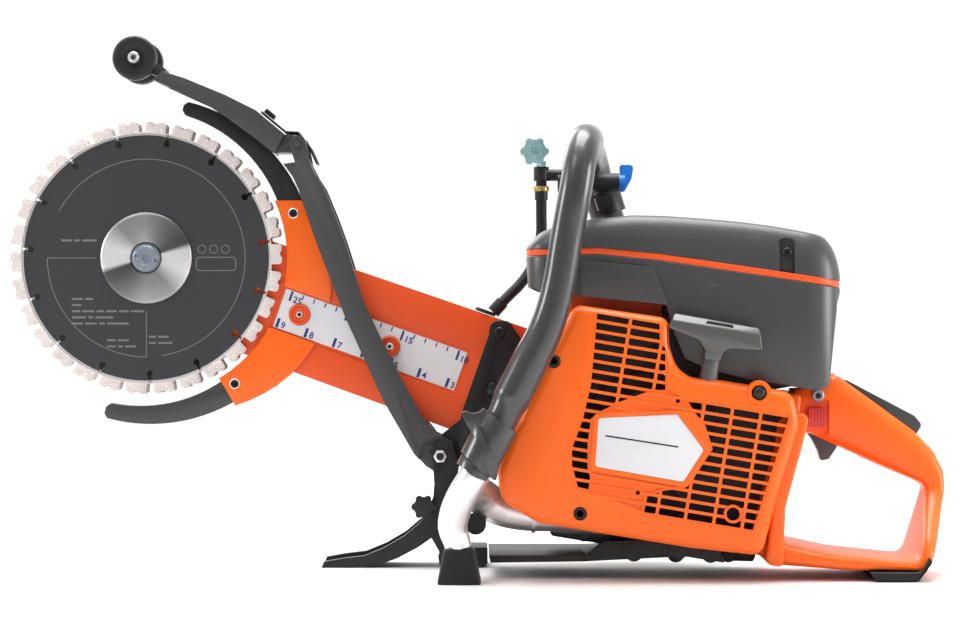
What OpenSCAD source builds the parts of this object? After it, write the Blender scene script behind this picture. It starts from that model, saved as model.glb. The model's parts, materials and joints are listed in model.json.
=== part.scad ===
// Hand-held rescue saw: a petrol engine drives two thin diamond discs through a belt in a long flat arm.
// X runs from the discs to the rear handle, Y from the starter side to the belt side, and Z is up.
// The origin is on the floor, under the middle of the saw.

/* [Discs] */
// Diameter of the cutting discs over their segments
disc_d = 230; // [200:1:240]
// Thickness of a disc's steel core
core_t = 2.6; // [2:0.1:3.2]
// Thickness of a diamond segment
segment_t = 4; // [3:0.1:4.5]
// Radial height of a diamond segment
segment_h = 9.5; // [7:0.5:12]
// Number of keyhole slots in a disc, with two segments between slots
slot_count = 15; // [12:1:18]
// Diameter of the bright clamping flange
flange_d = 77; // [60:1:90]

/* [Arm] */
// Angle of the arm below the horizontal
arm_tilt = 19.5; // [18:0.1:21]
// Thickness of the arm, which fits between the discs
arm_t = 15; // [12:0.5:16]
// Half height of the arm at the discs
arm_half_front = 48; // [44:1:50]
// Half height of the arm at the engine
arm_half_rear = 53; // [50:1:56]

/* [Engine] */
// Slope of the engine, rear end down
engine_tilt = 9.5; // [5:0.5:12]
// Radius of the crankshaft's journals
crank_r = 8; // [7:0.5:10]
// Radius of the belt pulley on the engine
drive_r = 22; // [18:1:24]
// Radius of the belt pulley between the discs
driven_r = 28; // [24:1:30]
// Thickness of moulded covers
wall = 3; // [2:0.5:4]
// Spacing of the starter grille's slats
slat_pitch = 7.92; // [6:0.1:10]
// Width of a slat
slat_w = 2.6; // [1.5:0.1:3]

/* [Handles] */
// Radius of the front handle's tube
handle_r = 13; // [11:0.5:14]
// Radius of the bare lower tubes
leg_r = 12; // [11:0.5:13]

/* [Guide bar] */
// Radius of the two rollers
roller_r = 18.6; // [15:0.1:20]
// Distance between the outer faces of the guide bar's two legs
bar_w = 56; // [50:1:60]
// Thickness of one leg
bar_leg_t = 10; // [8:0.5:12]

/* [Hidden] */
$fn = 64;
fit = 0.05;       // radial running clearance
gap = 0.3;        // clearance between parts that only pass each other

// Places, as [x, z], and planes across the saw
disc_c = [-275, 261];
crank_c = [disc_c[0] + 443 * cos(arm_tilt), disc_c[1] - 443 * sin(arm_tilt)];
pivot_c = [-26, 94];
hinge_c = [-146, 357];
roller_c = [-283, 429];
arm_y = 62;
arm_y0 = arm_y - arm_t / 2;
arm_y1 = arm_y + arm_t / 2;
disc_gap = 18.8;
near_core_y = arm_y - disc_gap / 2 - core_t;
far_core_y = arm_y + disc_gap / 2;
bar_y0 = arm_y - bar_w / 2;
bar_y1 = arm_y + bar_w / 2;
starter_y = -98;
handle_y = -112;
far_handle_y = 112;

orange = [0.93, 0.32, 0.06];
grey = [0.27, 0.27, 0.28];
black = [0.12, 0.12, 0.12];
steel = [0.72, 0.72, 0.73];

// ---- shape helpers ----

function polar(r, a) = [r * cos(a), r * sin(a)];
function unit(v) = v / norm(v);
function arc(c, r, a0, a1, n = 10) = [for (i = [0 : n]) c + polar(r, a0 + (a1 - a0) * i / n)];
function turn(from, to) = (to - from + 540) % 360 - 180;

// One corner of an outline, at b between a and c, rounded to radius r
function corner(a, b, c, r, n) = let (
        u = unit(a - b), v = unit(c - b), half = acos(u * v) / 2,
        m = b + unit(u + v) * r / sin(half), p = b + u * r / tan(half) - m, q = b + v * r / tan(half) - m,
        a0 = atan2(p[1], p[0]), d = turn(a0, atan2(q[1], q[0])))
    [for (i = [0 : n]) m + polar(r, a0 + d * i / n)];

// An outline of points [x, z, corner radius]
function rounded(p, n = 5) = let (k = len(p), xy = [for (q = p) [q[0], q[1]]]) [
    for (i = [0 : k - 1]) each p[i][2] == 0 ? [xy[i]]
        : corner(xy[(i + k - 1) % k], xy[i], xy[(i + 1) % k], p[i][2], n)];

// A smooth curve through points, with n steps between neighbours
function smooth(p, n = 5) = let (k = len(p)) concat([
    for (i = [0 : k - 2], j = [0 : n - 1]) let (t = j / n,
        a = p[max(i - 1, 0)], b = p[i], c = p[i + 1], d = p[min(i + 2, k - 1)])
        0.5 * (2 * b + (c - a) * t + (2 * a - 5 * b + 4 * c - d) * t * t
            + (3 * b - a - 3 * c + d) * t * t * t)], [p[k - 1]]);

// A round tube along the path, closed at both ends; each path point is [x, y, z, radius]
module sweep(points, sides = 16) {
    k = len(points);
    path = [for (p = points) [p[0], p[1], p[2]]];
    side = [0, 1, 0];
    rings = [for (i = [0 : k - 1]) let (
        t = unit(path[min(i + 1, k - 1)] - path[max(i - 1, 0)]),
        u = unit(abs(t * side) > 0.9 ? cross(t, [1, 0, 0]) : cross(t, side)), v = cross(t, u))
        for (j = [0 : sides - 1]) let (a = 360 * j / sides) path[i] + points[i][3] * (cos(a) * u + sin(a) * v)];
    walls = [for (i = [0 : k - 2], j = [0 : sides - 1]) let (a = i * sides + j, b = i * sides + (j + 1) % sides)
        each [[a, a + sides, b], [b, a + sides, b + sides]]];
    caps = [[for (j = [0 : sides - 1]) j], [for (j = [sides - 1 : -1 : 0]) (k - 1) * sides + j]];
    polyhedron(rings, concat(walls, caps));
}

// Extrudes an outline drawn as [x, z] from y0 to y1
module slab(y0, y1) translate([0, y1, 0]) rotate([90, 0, 0]) linear_extrude(y1 - y0) children();

// A round bar along Y at c = [x, z]
module rod(c, y0, y1, r) translate([c[0], y1, c[1]]) rotate([90, 0, 0]) cylinder(r = r, h = y1 - y0);

// A ring along Y
module ring(c, y0, y1, r, bore) difference() {
    rod(c, y0, y1, r);
    rod(c, y0 - 1, y1 + 1, bore);
}

// Moves children to the arm's frame: x along the arm from the discs, z across it
module along_arm() translate([disc_c[0], 0, disc_c[1]]) rotate([0, arm_tilt, 0]) children();
module turned_arm() translate(disc_c) rotate(-arm_tilt) children();

// A socket screw with its head at y0, pointing to +Y
module screw(c, y0, r = 3, head = 5, reach = 10) difference() {
    union() {
        rod(c, y0, y0 + 4, head);
        rod(c, y0 + 4, y0 + reach, r);
    }
    translate([c[0], y0 + 2.5, c[1]]) rotate([90, 0, 0]) cylinder(r = head * 0.5, h = 5, $fn = 6);
}

// ---- discs ----

module disc_core(y0, turned = 0) difference() {
    rod(disc_c, y0, y0 + core_t, disc_d / 2 - segment_h);
    rod(disc_c, y0 - 1, y0 + core_t + 1, 12 + fit);
    for (i = [0 : slot_count - 1]) {
        translate([disc_c[0], y0, disc_c[1]]) rotate([0, 10.3 + turned + 360 / slot_count * i, 0]) {
            translate([0, core_t + 1, 98]) rotate([90, 0, 0]) cylinder(r = 2.7, h = core_t + 2);
            translate([-1, -1, 98]) cube([2, core_t + 2, 20]);
        }
    }
}
module near_disc() color([0.2, 0.2, 0.21]) disc_core(near_core_y);
module far_disc() color([0.2, 0.2, 0.21]) disc_core(far_core_y, 180 / slot_count);

// One segment, drawn about its own middle, with a castellated outer edge
function segment_outline() = let (r0 = disc_d / 2 - segment_h + 0.02, w = 8.6, h = segment_h) concat(
    [for (a = [-4.6 : 2.3 : 4.6]) polar(r0, 90 + a)],
    [[-w, r0 + h - 1.5], [-w + 2, r0 + h], [-w + 6, r0 + h - 0.3], [-w + 7, r0 + h - 1.6], [-w + 10, r0 + h - 1.6],
     [-w + 11, r0 + h - 0.1], [w - 2, r0 + h - 0.3], [w, r0 + h - 1.8]]);
module segments_at(y0) slab(y0, y0 + segment_t) translate(disc_c) {
    for (i = [0 : 2 * slot_count - 1]) rotate(-16.3 - 180 / slot_count * i) polygon(segment_outline());
    difference() {
        circle(r = disc_d / 2 - segment_h + 1);
        circle(r = disc_d / 2 - segment_h + 0.02);
    }
}
module diamond_segments() color([0.83, 0.76, 0.73]) {
    segments_at(near_core_y + core_t - segment_t);
    segments_at(far_core_y);
}

module disc_flanges() color(steel) for (s = [0, 1]) {
    y0 = s == 0 ? near_core_y - 3 : far_core_y + core_t;
    difference() {
        rod(disc_c, y0, y0 + 3, flange_d / 2);
        rod(disc_c, y0 - 1, y0 + 4, 12 + fit);
    }
}
module disc_spindle() color([0.6, 0.62, 0.64]) {
    rod(disc_c, near_core_y - 3, far_core_y + core_t + 3, 12);
    for (s = [0, 1]) {
        y0 = s == 0 ? near_core_y - 5.6 : far_core_y + core_t + 3;
        difference() {
            rod(disc_c, y0, y0 + 2.6, 10.5);
            translate([disc_c[0], s == 0 ? y0 + 1.5 : y0 + 4, disc_c[1]]) rotate([90, 0, 0])
                cylinder(r = 4.6, h = 3, $fn = 6);
        }
    }
}
module driven_pulley() color(steel) difference() {
    rod(disc_c, arm_y - 4.8, arm_y + 4.8, driven_r);
    rod(disc_c, arm_y - 6, arm_y + 6, 12 + fit);
}
module disc_bearings() color(steel) {
    ring(disc_c, arm_y0 + 0.4, arm_y - 5, 19, 12 + fit);
    ring(disc_c, arm_y + 5, arm_y1 - 0.4, 19, 12 + fit);
}

// ---- arm ----

arm_len = 443 + 50;
function arm_outline(inset = 0) = let (f = arm_half_front - inset, b = arm_half_rear - inset, r = arm_len - 50)
    concat(arc([0, 0], f, 90, 270, 16), arc([r, 0], b, -84, 84, 14));
module arm_shell(y0, y1, face0, face1) difference() {
    slab(y0, y1) turned_arm() polygon(arm_outline());
    slab(face0, face1) turned_arm() polygon(arm_outline(4));
    rod(disc_c, y0 - 1, y1 + 1, 19 + fit);
    rod(crank_c, y0 - 1, y1 + 1, 17);
}
module arm_shell_near() color(orange) difference() {
    arm_shell(arm_y0, arm_y, arm_y0 + 2.5, arm_y + 1);
    slab(arm_y0 - 1, arm_y0 + 1) turned_arm() polygon(rounded([[117, 18, 3], [287, 18, 3], [287, -22, 3], [117, -22, 3]]));
    for (u = [138, 219]) along_arm() rod([u, -2], arm_y0 - 1, arm_y1, 3.1);
}
module arm_shell_far() color(orange) difference() {
    arm_shell(arm_y + 0.02, arm_y1, arm_y - 1, arm_y1 - 2.5);
    for (u = [138, 219]) along_arm() rod([u, -2], arm_y, arm_y1 + 1, 3.1);
}
module scale_plate() color([0.88, 0.88, 0.88]) difference() {
    slab(arm_y0 + 0.2, arm_y0 + 1) turned_arm() polygon([[120, 15.2], [283, 15.2], [283, -19.2], [120, -19.2]]);
    for (u = [138, 219]) along_arm() rod([u, -2], arm_y0 - 1, arm_y0 + 2, 9.1);
}
module drive_belt() color(black) difference() {
    hull_belt(2.6);
    hull_belt(0.3);
}
module hull_belt(t) slab(arm_y - 4, arm_y + 4) turned_arm()
    polygon(concat(arc([0, 0], driven_r + t, 90, 270, 28), arc([443, 0], drive_r + t, -90, 90, 28)));

// Outer radius of the orange wing, at t from its upper end to its lower end
function wing_r(t) = 141 + 17 * sin(180 * t) + 5 * t;
wing_a0 = 22;
wing_a1 = -59;
module wing_guard() color(orange) difference() {
    slab(arm_y0 - 2.2, arm_y1 + 2.2) translate(disc_c) polygon(concat(
        arc([0, 0], 119, wing_a1, wing_a0 + 2.2, 16),
        [for (t = [0 : 1 / 16 : 1]) polar(wing_r(t), wing_a0 - 1.7 + (wing_a1 - wing_a0 + 1.7) * t)]));
    slab(arm_y0 - 0.1, arm_y1 + 0.1) turned_arm() polygon(arm_outline(-gap));
    slab(arm_y0 - 4, arm_y0) turned_arm() polygon([[100, 16.5], [200, 16.5], [200, -20.5], [100, -20.5]]);
    for (s = [[25, 14], [-59.1, -50]])
        slab(arm_y - 8.2, arm_y + 8.2) translate(disc_c)
            polygon(concat(arc([0, 0], 118, s[0], s[1], 4), arc([0, 0], 144, s[1], s[0], 4)));
    for (c = guard_screw_c) rod(c, arm_y0 - 4, arm_y1 + 4, 3.1);
}
guard_screw_c = [disc_c + polar(130, 17), disc_c + polar(130, -55)];

// A black guard strip around the discs, from angle a0 at its root to a1 at its tip
module blade_guard(a0, a1, r_in, r_out) difference() {
    slab(arm_y - 8, arm_y + 8) translate(disc_c) polygon(concat(
        [for (t = [0 : 1 / 16 : 1]) polar(r_in[0] + (r_in[1] - r_in[0]) * t, a0 + (a1 - a0) * t)],
        [for (r = [r_in[1] + 3.5, r_out[1] - 3.5]) polar(r, a1 + sign(a1 - a0) * 1.4)],
        [for (t = [1 : -1 / 16 : 0]) polar(r_out[0] + (r_out[1] - r_out[0]) * t, a0 + (a1 - a0) * t)]));
    for (c = guard_screw_c) rod(c, arm_y - 9, arm_y + 9, 3.1);
}
module upper_blade_guard() color(black) blade_guard(14.3, 75, [120, 125.5], [140.5, 137]);
module lower_blade_guard() color(black) blade_guard(-50.3, -104, [121, 127], [143, 140]);

module screws() color(black) {
    for (c = guard_screw_c) screw(c, arm_y0 - 6.3, 3, 5, 20);
    for (u = [138, 219]) along_arm() difference() {
        union() {
            rod([u, -2], arm_y0 - 2.5, arm_y0 + 1, 8.9);
            rod([u, -2], arm_y0 + 1, arm_y1 - 1, 3);
        }
        translate([u, arm_y0, -2]) rotate([90, 0, 0]) cylinder(r = 3, h = 4, $fn = 6);
    }
    for (c = bracket_screw_c) screw(c, 40.5, 3, 6, 8);
    for (c = housing_screw_c) screw(c, starter_y - 1.8, 3, 5, 30);
    difference() {
        rod([254, 264], -74, -66, 4);
        translate([254, -72, 264]) rotate([90, 0, 0]) cylinder(r = 2, h = 4, $fn = 6);
    }
    for (p = [trigger_pivot, lockout_pivot]) rod(p, -19.9, 15.9, p == trigger_pivot ? 2.5 : 2);
    ring([285, 147], -22.5, -20.05, 4, 1.8);
}

bracket_screw_c = [[24, 198], [2, 126]];
module arm_bracket() color(black) difference() {
    union() {
        slab(44.6, arm_y0 - 0.1) polygon(rounded([[16, 208, 8], [32, 208, 8], [44, 190, 6], [42, 120, 8], [12, 96, 8],
            [-12, 100, 5], [-8, 130, 4], [3, 162, 4], [15, 196, 6]]));
        slab(49.7, arm_y0 - 0.1) polygon(rounded([[-4, 128, 3], [10, 100, 3], [-10, 84, 9], [-36, 84, 9], [-36, 103, 9]]));
    }
    rod([20, 150], 30, 70, 7);
    rod(pivot_c, 30, 70, 4.02);
    for (c = bracket_screw_c) rod(c, 30, 70, 3.1);
}

module clutch_cover() color(grey) difference() {
    slab(arm_y1 + 0.1, 104) turned_arm() polygon(concat(arc([350, 0], 40, 90, 270, 10), arc([443, 0], 54, -80, 80, 14)));
    rod(crank_c, arm_y1 - 1, 100, 47);
    slab(arm_y1 - 1, 100) turned_arm() polygon(rounded([[345, 34, 6], [420, 40, 6], [420, -40, 6], [345, -34, 6]]));
    for (i = [-3 : 3]) translate([crank_c[0] - 26, 99, crank_c[1] - 1.5 + i * 9]) cube([52, 8, 3]);
}

// ---- engine ----

module engine_frame() translate([crank_c[0], 0, crank_c[1]]) rotate([0, engine_tilt, 0]) children();

// The black plate behind the fan, inside the starter housing's outline
fan_plate = [[92, 176], [150, 176], [162, 155], [192, 152], [247, 144], [252, 128], [236, 76], [225, 31], [177, 37], [62, 57],
    [46, 80], [33, 92], [42, 121], [66, 174]];
module crankcase() color(steel) difference() {
    union() {
        slab(-57.4, -53.9) polygon(fan_plate);
        rod(crank_c, -54, 40, 50);
        slab(14, 44) polygon(rounded([[48, 172, 6], [104, 170, 6], [120, 100, 6], [100, 74, 6], [46, 92, 6]]));
    }
    rod(crank_c, -60, 60, crank_r + fit);
    rod(crank_c, -60, -52, crank_r + 2);
    rod(crank_c, -16, 16, 36);
    rod(crank_c, 40, 60, 54);
    cylinder_space(31);
}
// The cylinder's axis leans forward of the engine's own upright
module cylinder_space(r) translate([crank_c[0], -14, crank_c[1]]) rotate([0, -12, 0]) translate([0, 0, 36])
    cylinder(r = r, h = 80);
module cylinder_block() color([0.5, 0.5, 0.52])
    translate([crank_c[0], -14, crank_c[1]]) rotate([0, -12, 0]) {
        difference() {
            union() {
                translate([0, 0, 40]) cylinder(r = 22, h = 60);
                for (i = [0 : 3]) translate([-34, -34, 73 + i * 7]) cube([57, 60, 2.4]);
                // Spark plug
                translate([0, 0, 96]) cylinder(r = 7, h = 10.6, $fn = 6);
            }
            translate([0, 0, 30]) cylinder(r = 15, h = 60);
        }
    }
// A cowl around the cylinder
module cylinder_shroud() color(orange) difference() {
    translate([62, -53.5, 178]) cube([93, 102, 48]);
    translate([65, -50.5, 170]) cube([87, 96, 60]);
    for (i = [0 : 3]) translate([74 + i * 18, 40, 186]) cube([9, 12, 30]);
}
module muffler() color([0.16, 0.16, 0.16]) difference() {
    slab(-49.5, 10) polygon(rounded([[67, 216, 6], [86, 212, 6], [89, 130, 8], [52, 118, 8], [50, 142, 8], [67, 178, 10]]));
    slab(-46.5, 7) polygon(rounded([[70, 212, 4], [83, 208, 4], [86, 133, 6], [55, 121, 6], [53, 141, 6], [70, 177, 8]]));
    for (i = [0 : 3]) translate([40, -40, 124 + i * 5]) cube([18, 36, 2.4]);
}
module carburettor() color([0.6, 0.6, 0.6]) engine_frame() difference() {
    translate([50, -30, 62]) cube([38, 36, 38]);
    translate([45, -12, 81]) rotate([0, 90, 0]) cylinder(r = 9, h = 60);
}
module air_filter() color([0.75, 0.7, 0.55]) engine_frame() translate([-40, -50, 122]) cube([150, 90, 26]);

// Height of the orange stripe's middle at the cover's x
stripe_line = [[46, 264], [104, 265], [153, 260], [208, 252], [300, 238]];
function stripe(up) = [for (p = stripe_line) p + [0, up]];
function back(p) = [for (i = [len(p) - 1 : -1 : 0]) p[i]];
cover_top = [[299, 258], [296, 267], [288, 275], [271, 280], [242, 285], [214, 289], [185, 291], [157, 293], [131, 294],
    [98, 291], [66, 284], [55, 280], [49, 274]];
cover_plan = [[46, -72, 26], [300, -75, 34], [300, 58, 34], [46, 52, 26]];
cover_low = [[295.6, 222], [294, 205], [292.6, 193], [291.2, 180], [289.8, 167], [288.6, 159], [286, 154.8], [281, 153.2],
    [272, 153.6], [254, 157], [226, 161], [192, 169], [172, 178],
    [163, 198], [157, 221], [98, 228], [57, 232], [48, 236]];
module plan(inset) linear_extrude(400) polygon(rounded([[cover_plan[0][0] + inset, cover_plan[0][1] + inset, 22],
    [cover_plan[1][0] - inset, cover_plan[1][1] + inset, 30], [cover_plan[2][0] - inset, cover_plan[2][1] - inset, 30],
    [cover_plan[3][0] + inset, cover_plan[3][1] - inset, 22]]));

// A hollow cover: its side outline and its inner outline, cut to the plan's rounded rectangle
module shell(outer, inner) intersection() {
    plan(0);
    difference() {
        slab(-80, 80) polygon(outer);
        intersection() {
            plan(wall);
            slab(-80, 80) polygon(inner);
        }
    }
}
module filter_cover() color(grey) difference() {
    shell(concat(stripe(2.8), cover_top), concat(stripe(1), [for (p = cover_top) p - [0, 4]]));
    rod([254, 264], -80, -66, 7);
}
module cover_stripe() color(orange) intersection() {
    difference() {
        plan(0.6);
        plan(wall + 0.6);
    }
    slab(-80, 80) polygon(concat(stripe(-2.7), back(stripe(2.7))));
}
module engine_cover() color(grey) shell(concat(stripe(-2.8), cover_low),
    concat(stripe(0), [[289, 205], [286, 180], [280, 140], [166, 140], [166, 205], [162, 214], [98, 214], [50, 226]]));

housing = rounded([[83, 222, 4], [158, 211, 5], [158, 192, 22], [166, 164, 18], [197, 162, 10], [256, 152, 8],
    [262, 128, 10], [246, 76, 60], [232, 22, 7], [176, 28, 40], [54, 48, 16], [24, 66, 16], [21, 92, 20], [34, 122, 20], [62, 180, 20]]);
housing_cavity = rounded([[88, 218, 4], [154, 207, 4], [154, 190, 20], [163, 160, 18], [194, 158, 8], [251, 149, 6],
    [258, 128, 8], [242, 76, 50], [229, 26, 6], [177, 32, 40], [56, 52, 14], [28, 69, 14], [25, 92, 18], [38, 121, 18], [66, 180, 18]]);
grille_left = [[100.5, 215], [150, 206.6], [154.7, 187.5], [154.7, 154.4], [144.3, 154.2], [118.6, 144.7], [102.4, 137.5],
    [96, 132], [92.5, 111.3], [92.5, 92.3], [94.5, 84.7], [93.8, 75.2], [85.2, 77.1], [80.5, 94.2], [80.5, 107.5], [89, 130.4],
    [95.7, 158.9]];
grille_right = [[172.8, 144.7], [185.2, 143.7], [252.8, 132.3], [224.2, 42.8], [137.6, 57.1], [140.4, 69.5], [152.8, 74.2],
    [170, 76.1], [177.6, 84.7], [192.3, 107.5], [186.1, 126.6], [179.5, 134.2]];
badge = [[100, 134], [166, 136], [188, 108], [168, 80], [99, 92]];
// Slats and dividers; the first row of slots has its middle at v, counted up from the crank along the engine's own upright
module grille_slots(outline, v, dividers) difference() {
    polygon(outline);
    translate(crank_c) rotate(-engine_tilt) {
        for (i = [-0.5 : 16.5]) translate([-100, v - i * slat_pitch - slat_w / 2]) square([220, slat_w]);
        for (u = dividers) translate([u - 1, -100]) square([2, 220]);
    }
}
module badge_land(grow) polygon([for (p = badge) [134, 108] + (p - [134, 108]) * grow]);
module starter_housing() color(orange) difference() {
    union() {
        slab(starter_y, starter_y + wall) difference() {
            polygon(housing);
            grille_slots(grille_left, 99.6, [-31.2, -4.2]);
            difference() {
                grille_slots(grille_right, 34, [15.7, 38.9, 62.3, 85.4]);
                translate([209, 55.4]) circle(r = 8.4);
            }
            translate([209, 55.4]) circle(r = 5.6);
        }
        slab(starter_y + wall, -58) difference() {
            polygon(housing);
            polygon(housing_cavity);
        }
        rod(crank_c, starter_y + wall, -81, crank_r);
        rod([229, 152], starter_y, -84, 9);
        engine_frame() translate([38, -87, 46]) cylinder(r = 10, h = 6);
    }
    slab(starter_y - 1, starter_y + 0.8) polygon(badge);
    rod([229, 152], starter_y - 1, -88, 6.2);
    engine_frame() translate([38, -87, 30]) cylinder(r = 2.6, h = 40);
    engine_frame() translate([38, -87, 52.4]) cylinder(r = 11, h = 30);
    for (c = housing_screw_c) {
        rod(c, starter_y - 1, starter_y + 2.3, 5.2);
        rod(c, starter_y, -40, 3.1);
    }
}
housing_screw_c = [[66, 177], [87, 56]];
module starter_badge() color([0.9, 0.9, 0.9]) slab(starter_y - 0.2, starter_y + 0.7) badge_land(0.985);
module rope_pulley() color(black) difference() {
    rod(crank_c, -92, -82, 40);
    difference() {
        rod(crank_c, -89, -85, 41);
        rod(crank_c, -90, -84, 36);
    }
    rod(crank_c, -94, -80, crank_r + fit);
}
module flywheel() color([0.55, 0.55, 0.57]) difference() {
    union() {
        rod(crank_c, -66, -60, 54);
        rod(crank_c, -76, -60, 22);
        for (a = [0 : 30 : 330]) translate([crank_c[0], 0, crank_c[1]]) rotate([0, a, 0])
            translate([-1.25, -76, 24]) cube([2.5, 11, 29]);
    }
    rod(crank_c, -80, -50, crank_r + 0.02);
}
module crankshaft() color(steel) {
    rod(crank_c, -79, 92, crank_r);
    rod(crank_c, -12, 12, 30);
}
module drive_pulley() color(steel) difference() {
    union() {
        rod(crank_c, arm_y - 4.8, arm_y + 4.8, drive_r);
        rod(crank_c, arm_y + 4, 73, 15);
        rod(crank_c, 73, 92, 42);
    }
    rod(crank_c, 76, 93, 38);
    rod(crank_c, 40, 93, crank_r + fit);
}

// ---- handles and stand ----

loop_out = rounded([[268, 152.4, 3], [290.6, 152.6, 1], [291, 164, 2.5], [300, 162, 4], [333, 139, 40], [372, 110, 20], [390, 88, 16], [388, 46, 60],
    [380, 8, 14], [300, 6, 60], [246, 8, 6], [240, 60, 40]]);
loop_in = rounded([[274, 119, 8], [254, 88, 60], [249, 35, 9], [302, 26, 60], [352, 17, 12], [366, 50, 50],
    [372, 76, 10], [341, 89, 60], [300, 113, 8]]);
module rear_handle() color(orange) difference() {
    union() {
        slab(-20, 16) polygon(loop_out);
        slab(-80, 32) polygon(rounded([[246, 9, 3], [379, 6, 5], [384, 22, 6], [352, 15, 20], [300, 24, 60], [249, 32, 6]]));
        slab(-84, 40) polygon(rounded([[236, 18, 5], [248, 12, 3], [248, 60, 30], [262, 104, 10], [272, 140, 6], [248, 128, 8]]));
        slab(-56, 40) polygon(rounded([[206, 30, 8], [240, 16, 5], [262, 100, 10], [268, 150, 5], [240, 150, 8], [218, 100, 20]]));
    }
    slab(-90, 60) polygon(loop_in);
    slab(-99, -57.7) translate([0.3, 0]) polygon(housing);
    slab(-60, -53.6) offset(0.4) polygon(fan_plate);
    slab(-11, 7) polygon([[268, 150], [312, 150], [322, 92], [266, 102]]);
    slab(-11, 7) polygon([[300, 170], [384, 126], [374, 90], [300, 136]]);
    slab(-28, -16) polygon(rounded([[274, 142, 2], [294, 142, 2], [294, 116, 2], [274, 116, 2]]));
    rod([220, 62], 32, 60, 16);
    for (p = [trigger_pivot, lockout_pivot]) rod(p, -30, 30, p == trigger_pivot ? 2.55 : 2.05);
    slab(-90, 40) polygon([[312, 8.2], [365.2, 8.2], [377.2, 24.3], [395, 24], [395, -4], [312, -4]]);
}
module rear_foot() color(black) slab(-83, 35) polygon(rounded([[314, 8, 1], [366, 8, 3], [378, 24, 1], [382, 16, 3], [372, 3, 6],
    [362, 0, 6], [324, 0, 4]]));

function along(y, xz, r) = [for (p = xz) [p[0], y, p[1], r]];
front_path = smooth(concat(along(handle_y, [[8, 98], [27.5, 137.5], [30, 142.6]], handle_r),
    [[33, handle_y, 148.6, 15], [47, handle_y, 177, 14.8], [60, handle_y, 204, 13.6]],
    along(handle_y, [[68, 230], [76, 275], [84, 320]], handle_r),
    [for (p = [[87, -106, 338], [90, -92, 350], [93, -70, 354], [97, 0, 354], [100, 66, 354], [103, 90, 350],
        [107, 106, 339]]) concat(p, handle_r)],
    along(far_handle_y, [[112, 320], [122, 290], [137, 246], [152, 212]], handle_r),
    [for (p = [[174, 111, 187], [202, 106, 167], [224, 94, 150], [235, 74, 140], [238, 56, 137], [238, 42, 137]])
        concat(p, handle_r)]), 3);
module front_handle() color(grey) sweep(front_path, 18);
clamp_axis = atan2(39, 79);
module handle_clamp() color([0.4, 0.4, 0.41]) translate([27.5, handle_y, 137.5]) rotate([0, clamp_axis, 0]) difference() {
    union() {
        translate([0, 0, -56]) cylinder(r = 16, h = 20);
        translate([0, 0, -36]) cylinder(r1 = 16, r2 = 19, h = 34);
        translate([0, 0, -2]) cylinder(r = 19, h = 4);
        translate([-22, -4, -30]) cube([8, 12, 28]);
    }
    translate([0, 0, -44.04]) cylinder(r = handle_r + 0.2, h = 60);
    translate([0, 0, -60]) cylinder(r = leg_r + 0.6, h = 17);
}
leg_path = smooth([for (p = [[7.1, handle_y, 96.3], [2.3, handle_y, 86.5], [-7, -105, 70], [-13, -96, 54], [-14, -92, 44],
    [-10, -90, 34], [-9, -90, 28.2]]) concat(p, leg_r)], 4);
module front_leg() color([0.8, 0.8, 0.81]) sweep(leg_path);
module front_foot() color(black) translate([-9, -90, 0]) rotate([0, 0, 45]) cylinder(r1 = 25, r2 = 17, h = 28, $fn = 4);
tube_path = smooth([[-3, -94, 70, 9.5], [-3, -84, 71, 11], [0, -70, 70, 12.5], [8, -54, 64, 13], [20, -45, 56, 13],
    [38, -41, 51, 13], [64, -40, 49.5, 13], [136, -40, 46, 13]], 4);
module frame_tube() color([0.62, 0.62, 0.63]) {
    sweep(tube_path);
    ring([238, 137], 40.3, 47, 20, handle_r + 0.3);
}

shoe_top = [[-33, 96], [-31, 71], [-32, 58], [-37, 46], [-43, 38], [-56, 27], [-73, 17], [-90, 10], [-107, 8], [-124, 5]];
shoe_low = [[-126, 0], [-90, 0], [-79, 2], [-62, 8], [-45, 17], [-32, 26], [-22, 42], [-14, 60], [-10, 86], [-16, 104], [-28, 106]];
module stand_shoe() color(black) difference() {
    union() {
        for (y0 = [bar_y0, bar_y1 - bar_leg_t]) slab(y0 + 1, y0 + bar_leg_t - 1) polygon(concat(shoe_top, shoe_low));
        slab(bar_y0 + 1, bar_y1 - 1) polygon(concat([for (p = shoe_low) if (p[0] < -30) p], [[-40, 26], [-60, 14], [-80, 6], [-100, 3], [-124, 2]]));
        slab(bar_y0 + 2, bar_y1 - 2) polygon(rounded([[-20, 17, 2], [14, 17, 2], [14, 4, 2], [11, 0, 2], [-26, 0, 2], [-28, 10, 2]]));
        slab(bar_y0 + 2, bar_y1 - 2) polygon([[-34, 26], [-24, 40], [-16, 40], [-10, 16], [-26, 12]]);
    }
    rod(pivot_c, 0, 120, 4 + fit);
    rod([-40, 52], 0, 120, 4.1);
}
module guard_pivot_bolt() color(steel) {
    rod(pivot_c, bar_y0 - 5.4, bar_y1 + 0.9, 4);
    difference() {
        translate([pivot_c[0], bar_y0 - 0.3, pivot_c[1]]) rotate([90, 0, 0]) cylinder(r = 5.6, h = 4, $fn = 6);
        rod(pivot_c, 0, 60, 4);
    }
    rod(pivot_c, bar_y1 + 0.9, bar_y1 + 5, 6.5);
}
module shoe_knob() color(black) {
    slab(bar_y0 - 11, bar_y0 - 0.4) translate([-40, 52]) circle(r = 8.2);
    slab(bar_y0 - 10, bar_y0 - 1) translate([-40, 52]) for (a = [0 : 60 : 300]) rotate(a) translate([7.2, 0]) circle(r = 3, $fn = 20);
    rod([-40, 52], bar_y0 - 1, bar_y0 + 14, 4);
}

// ---- guide bar ----

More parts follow.
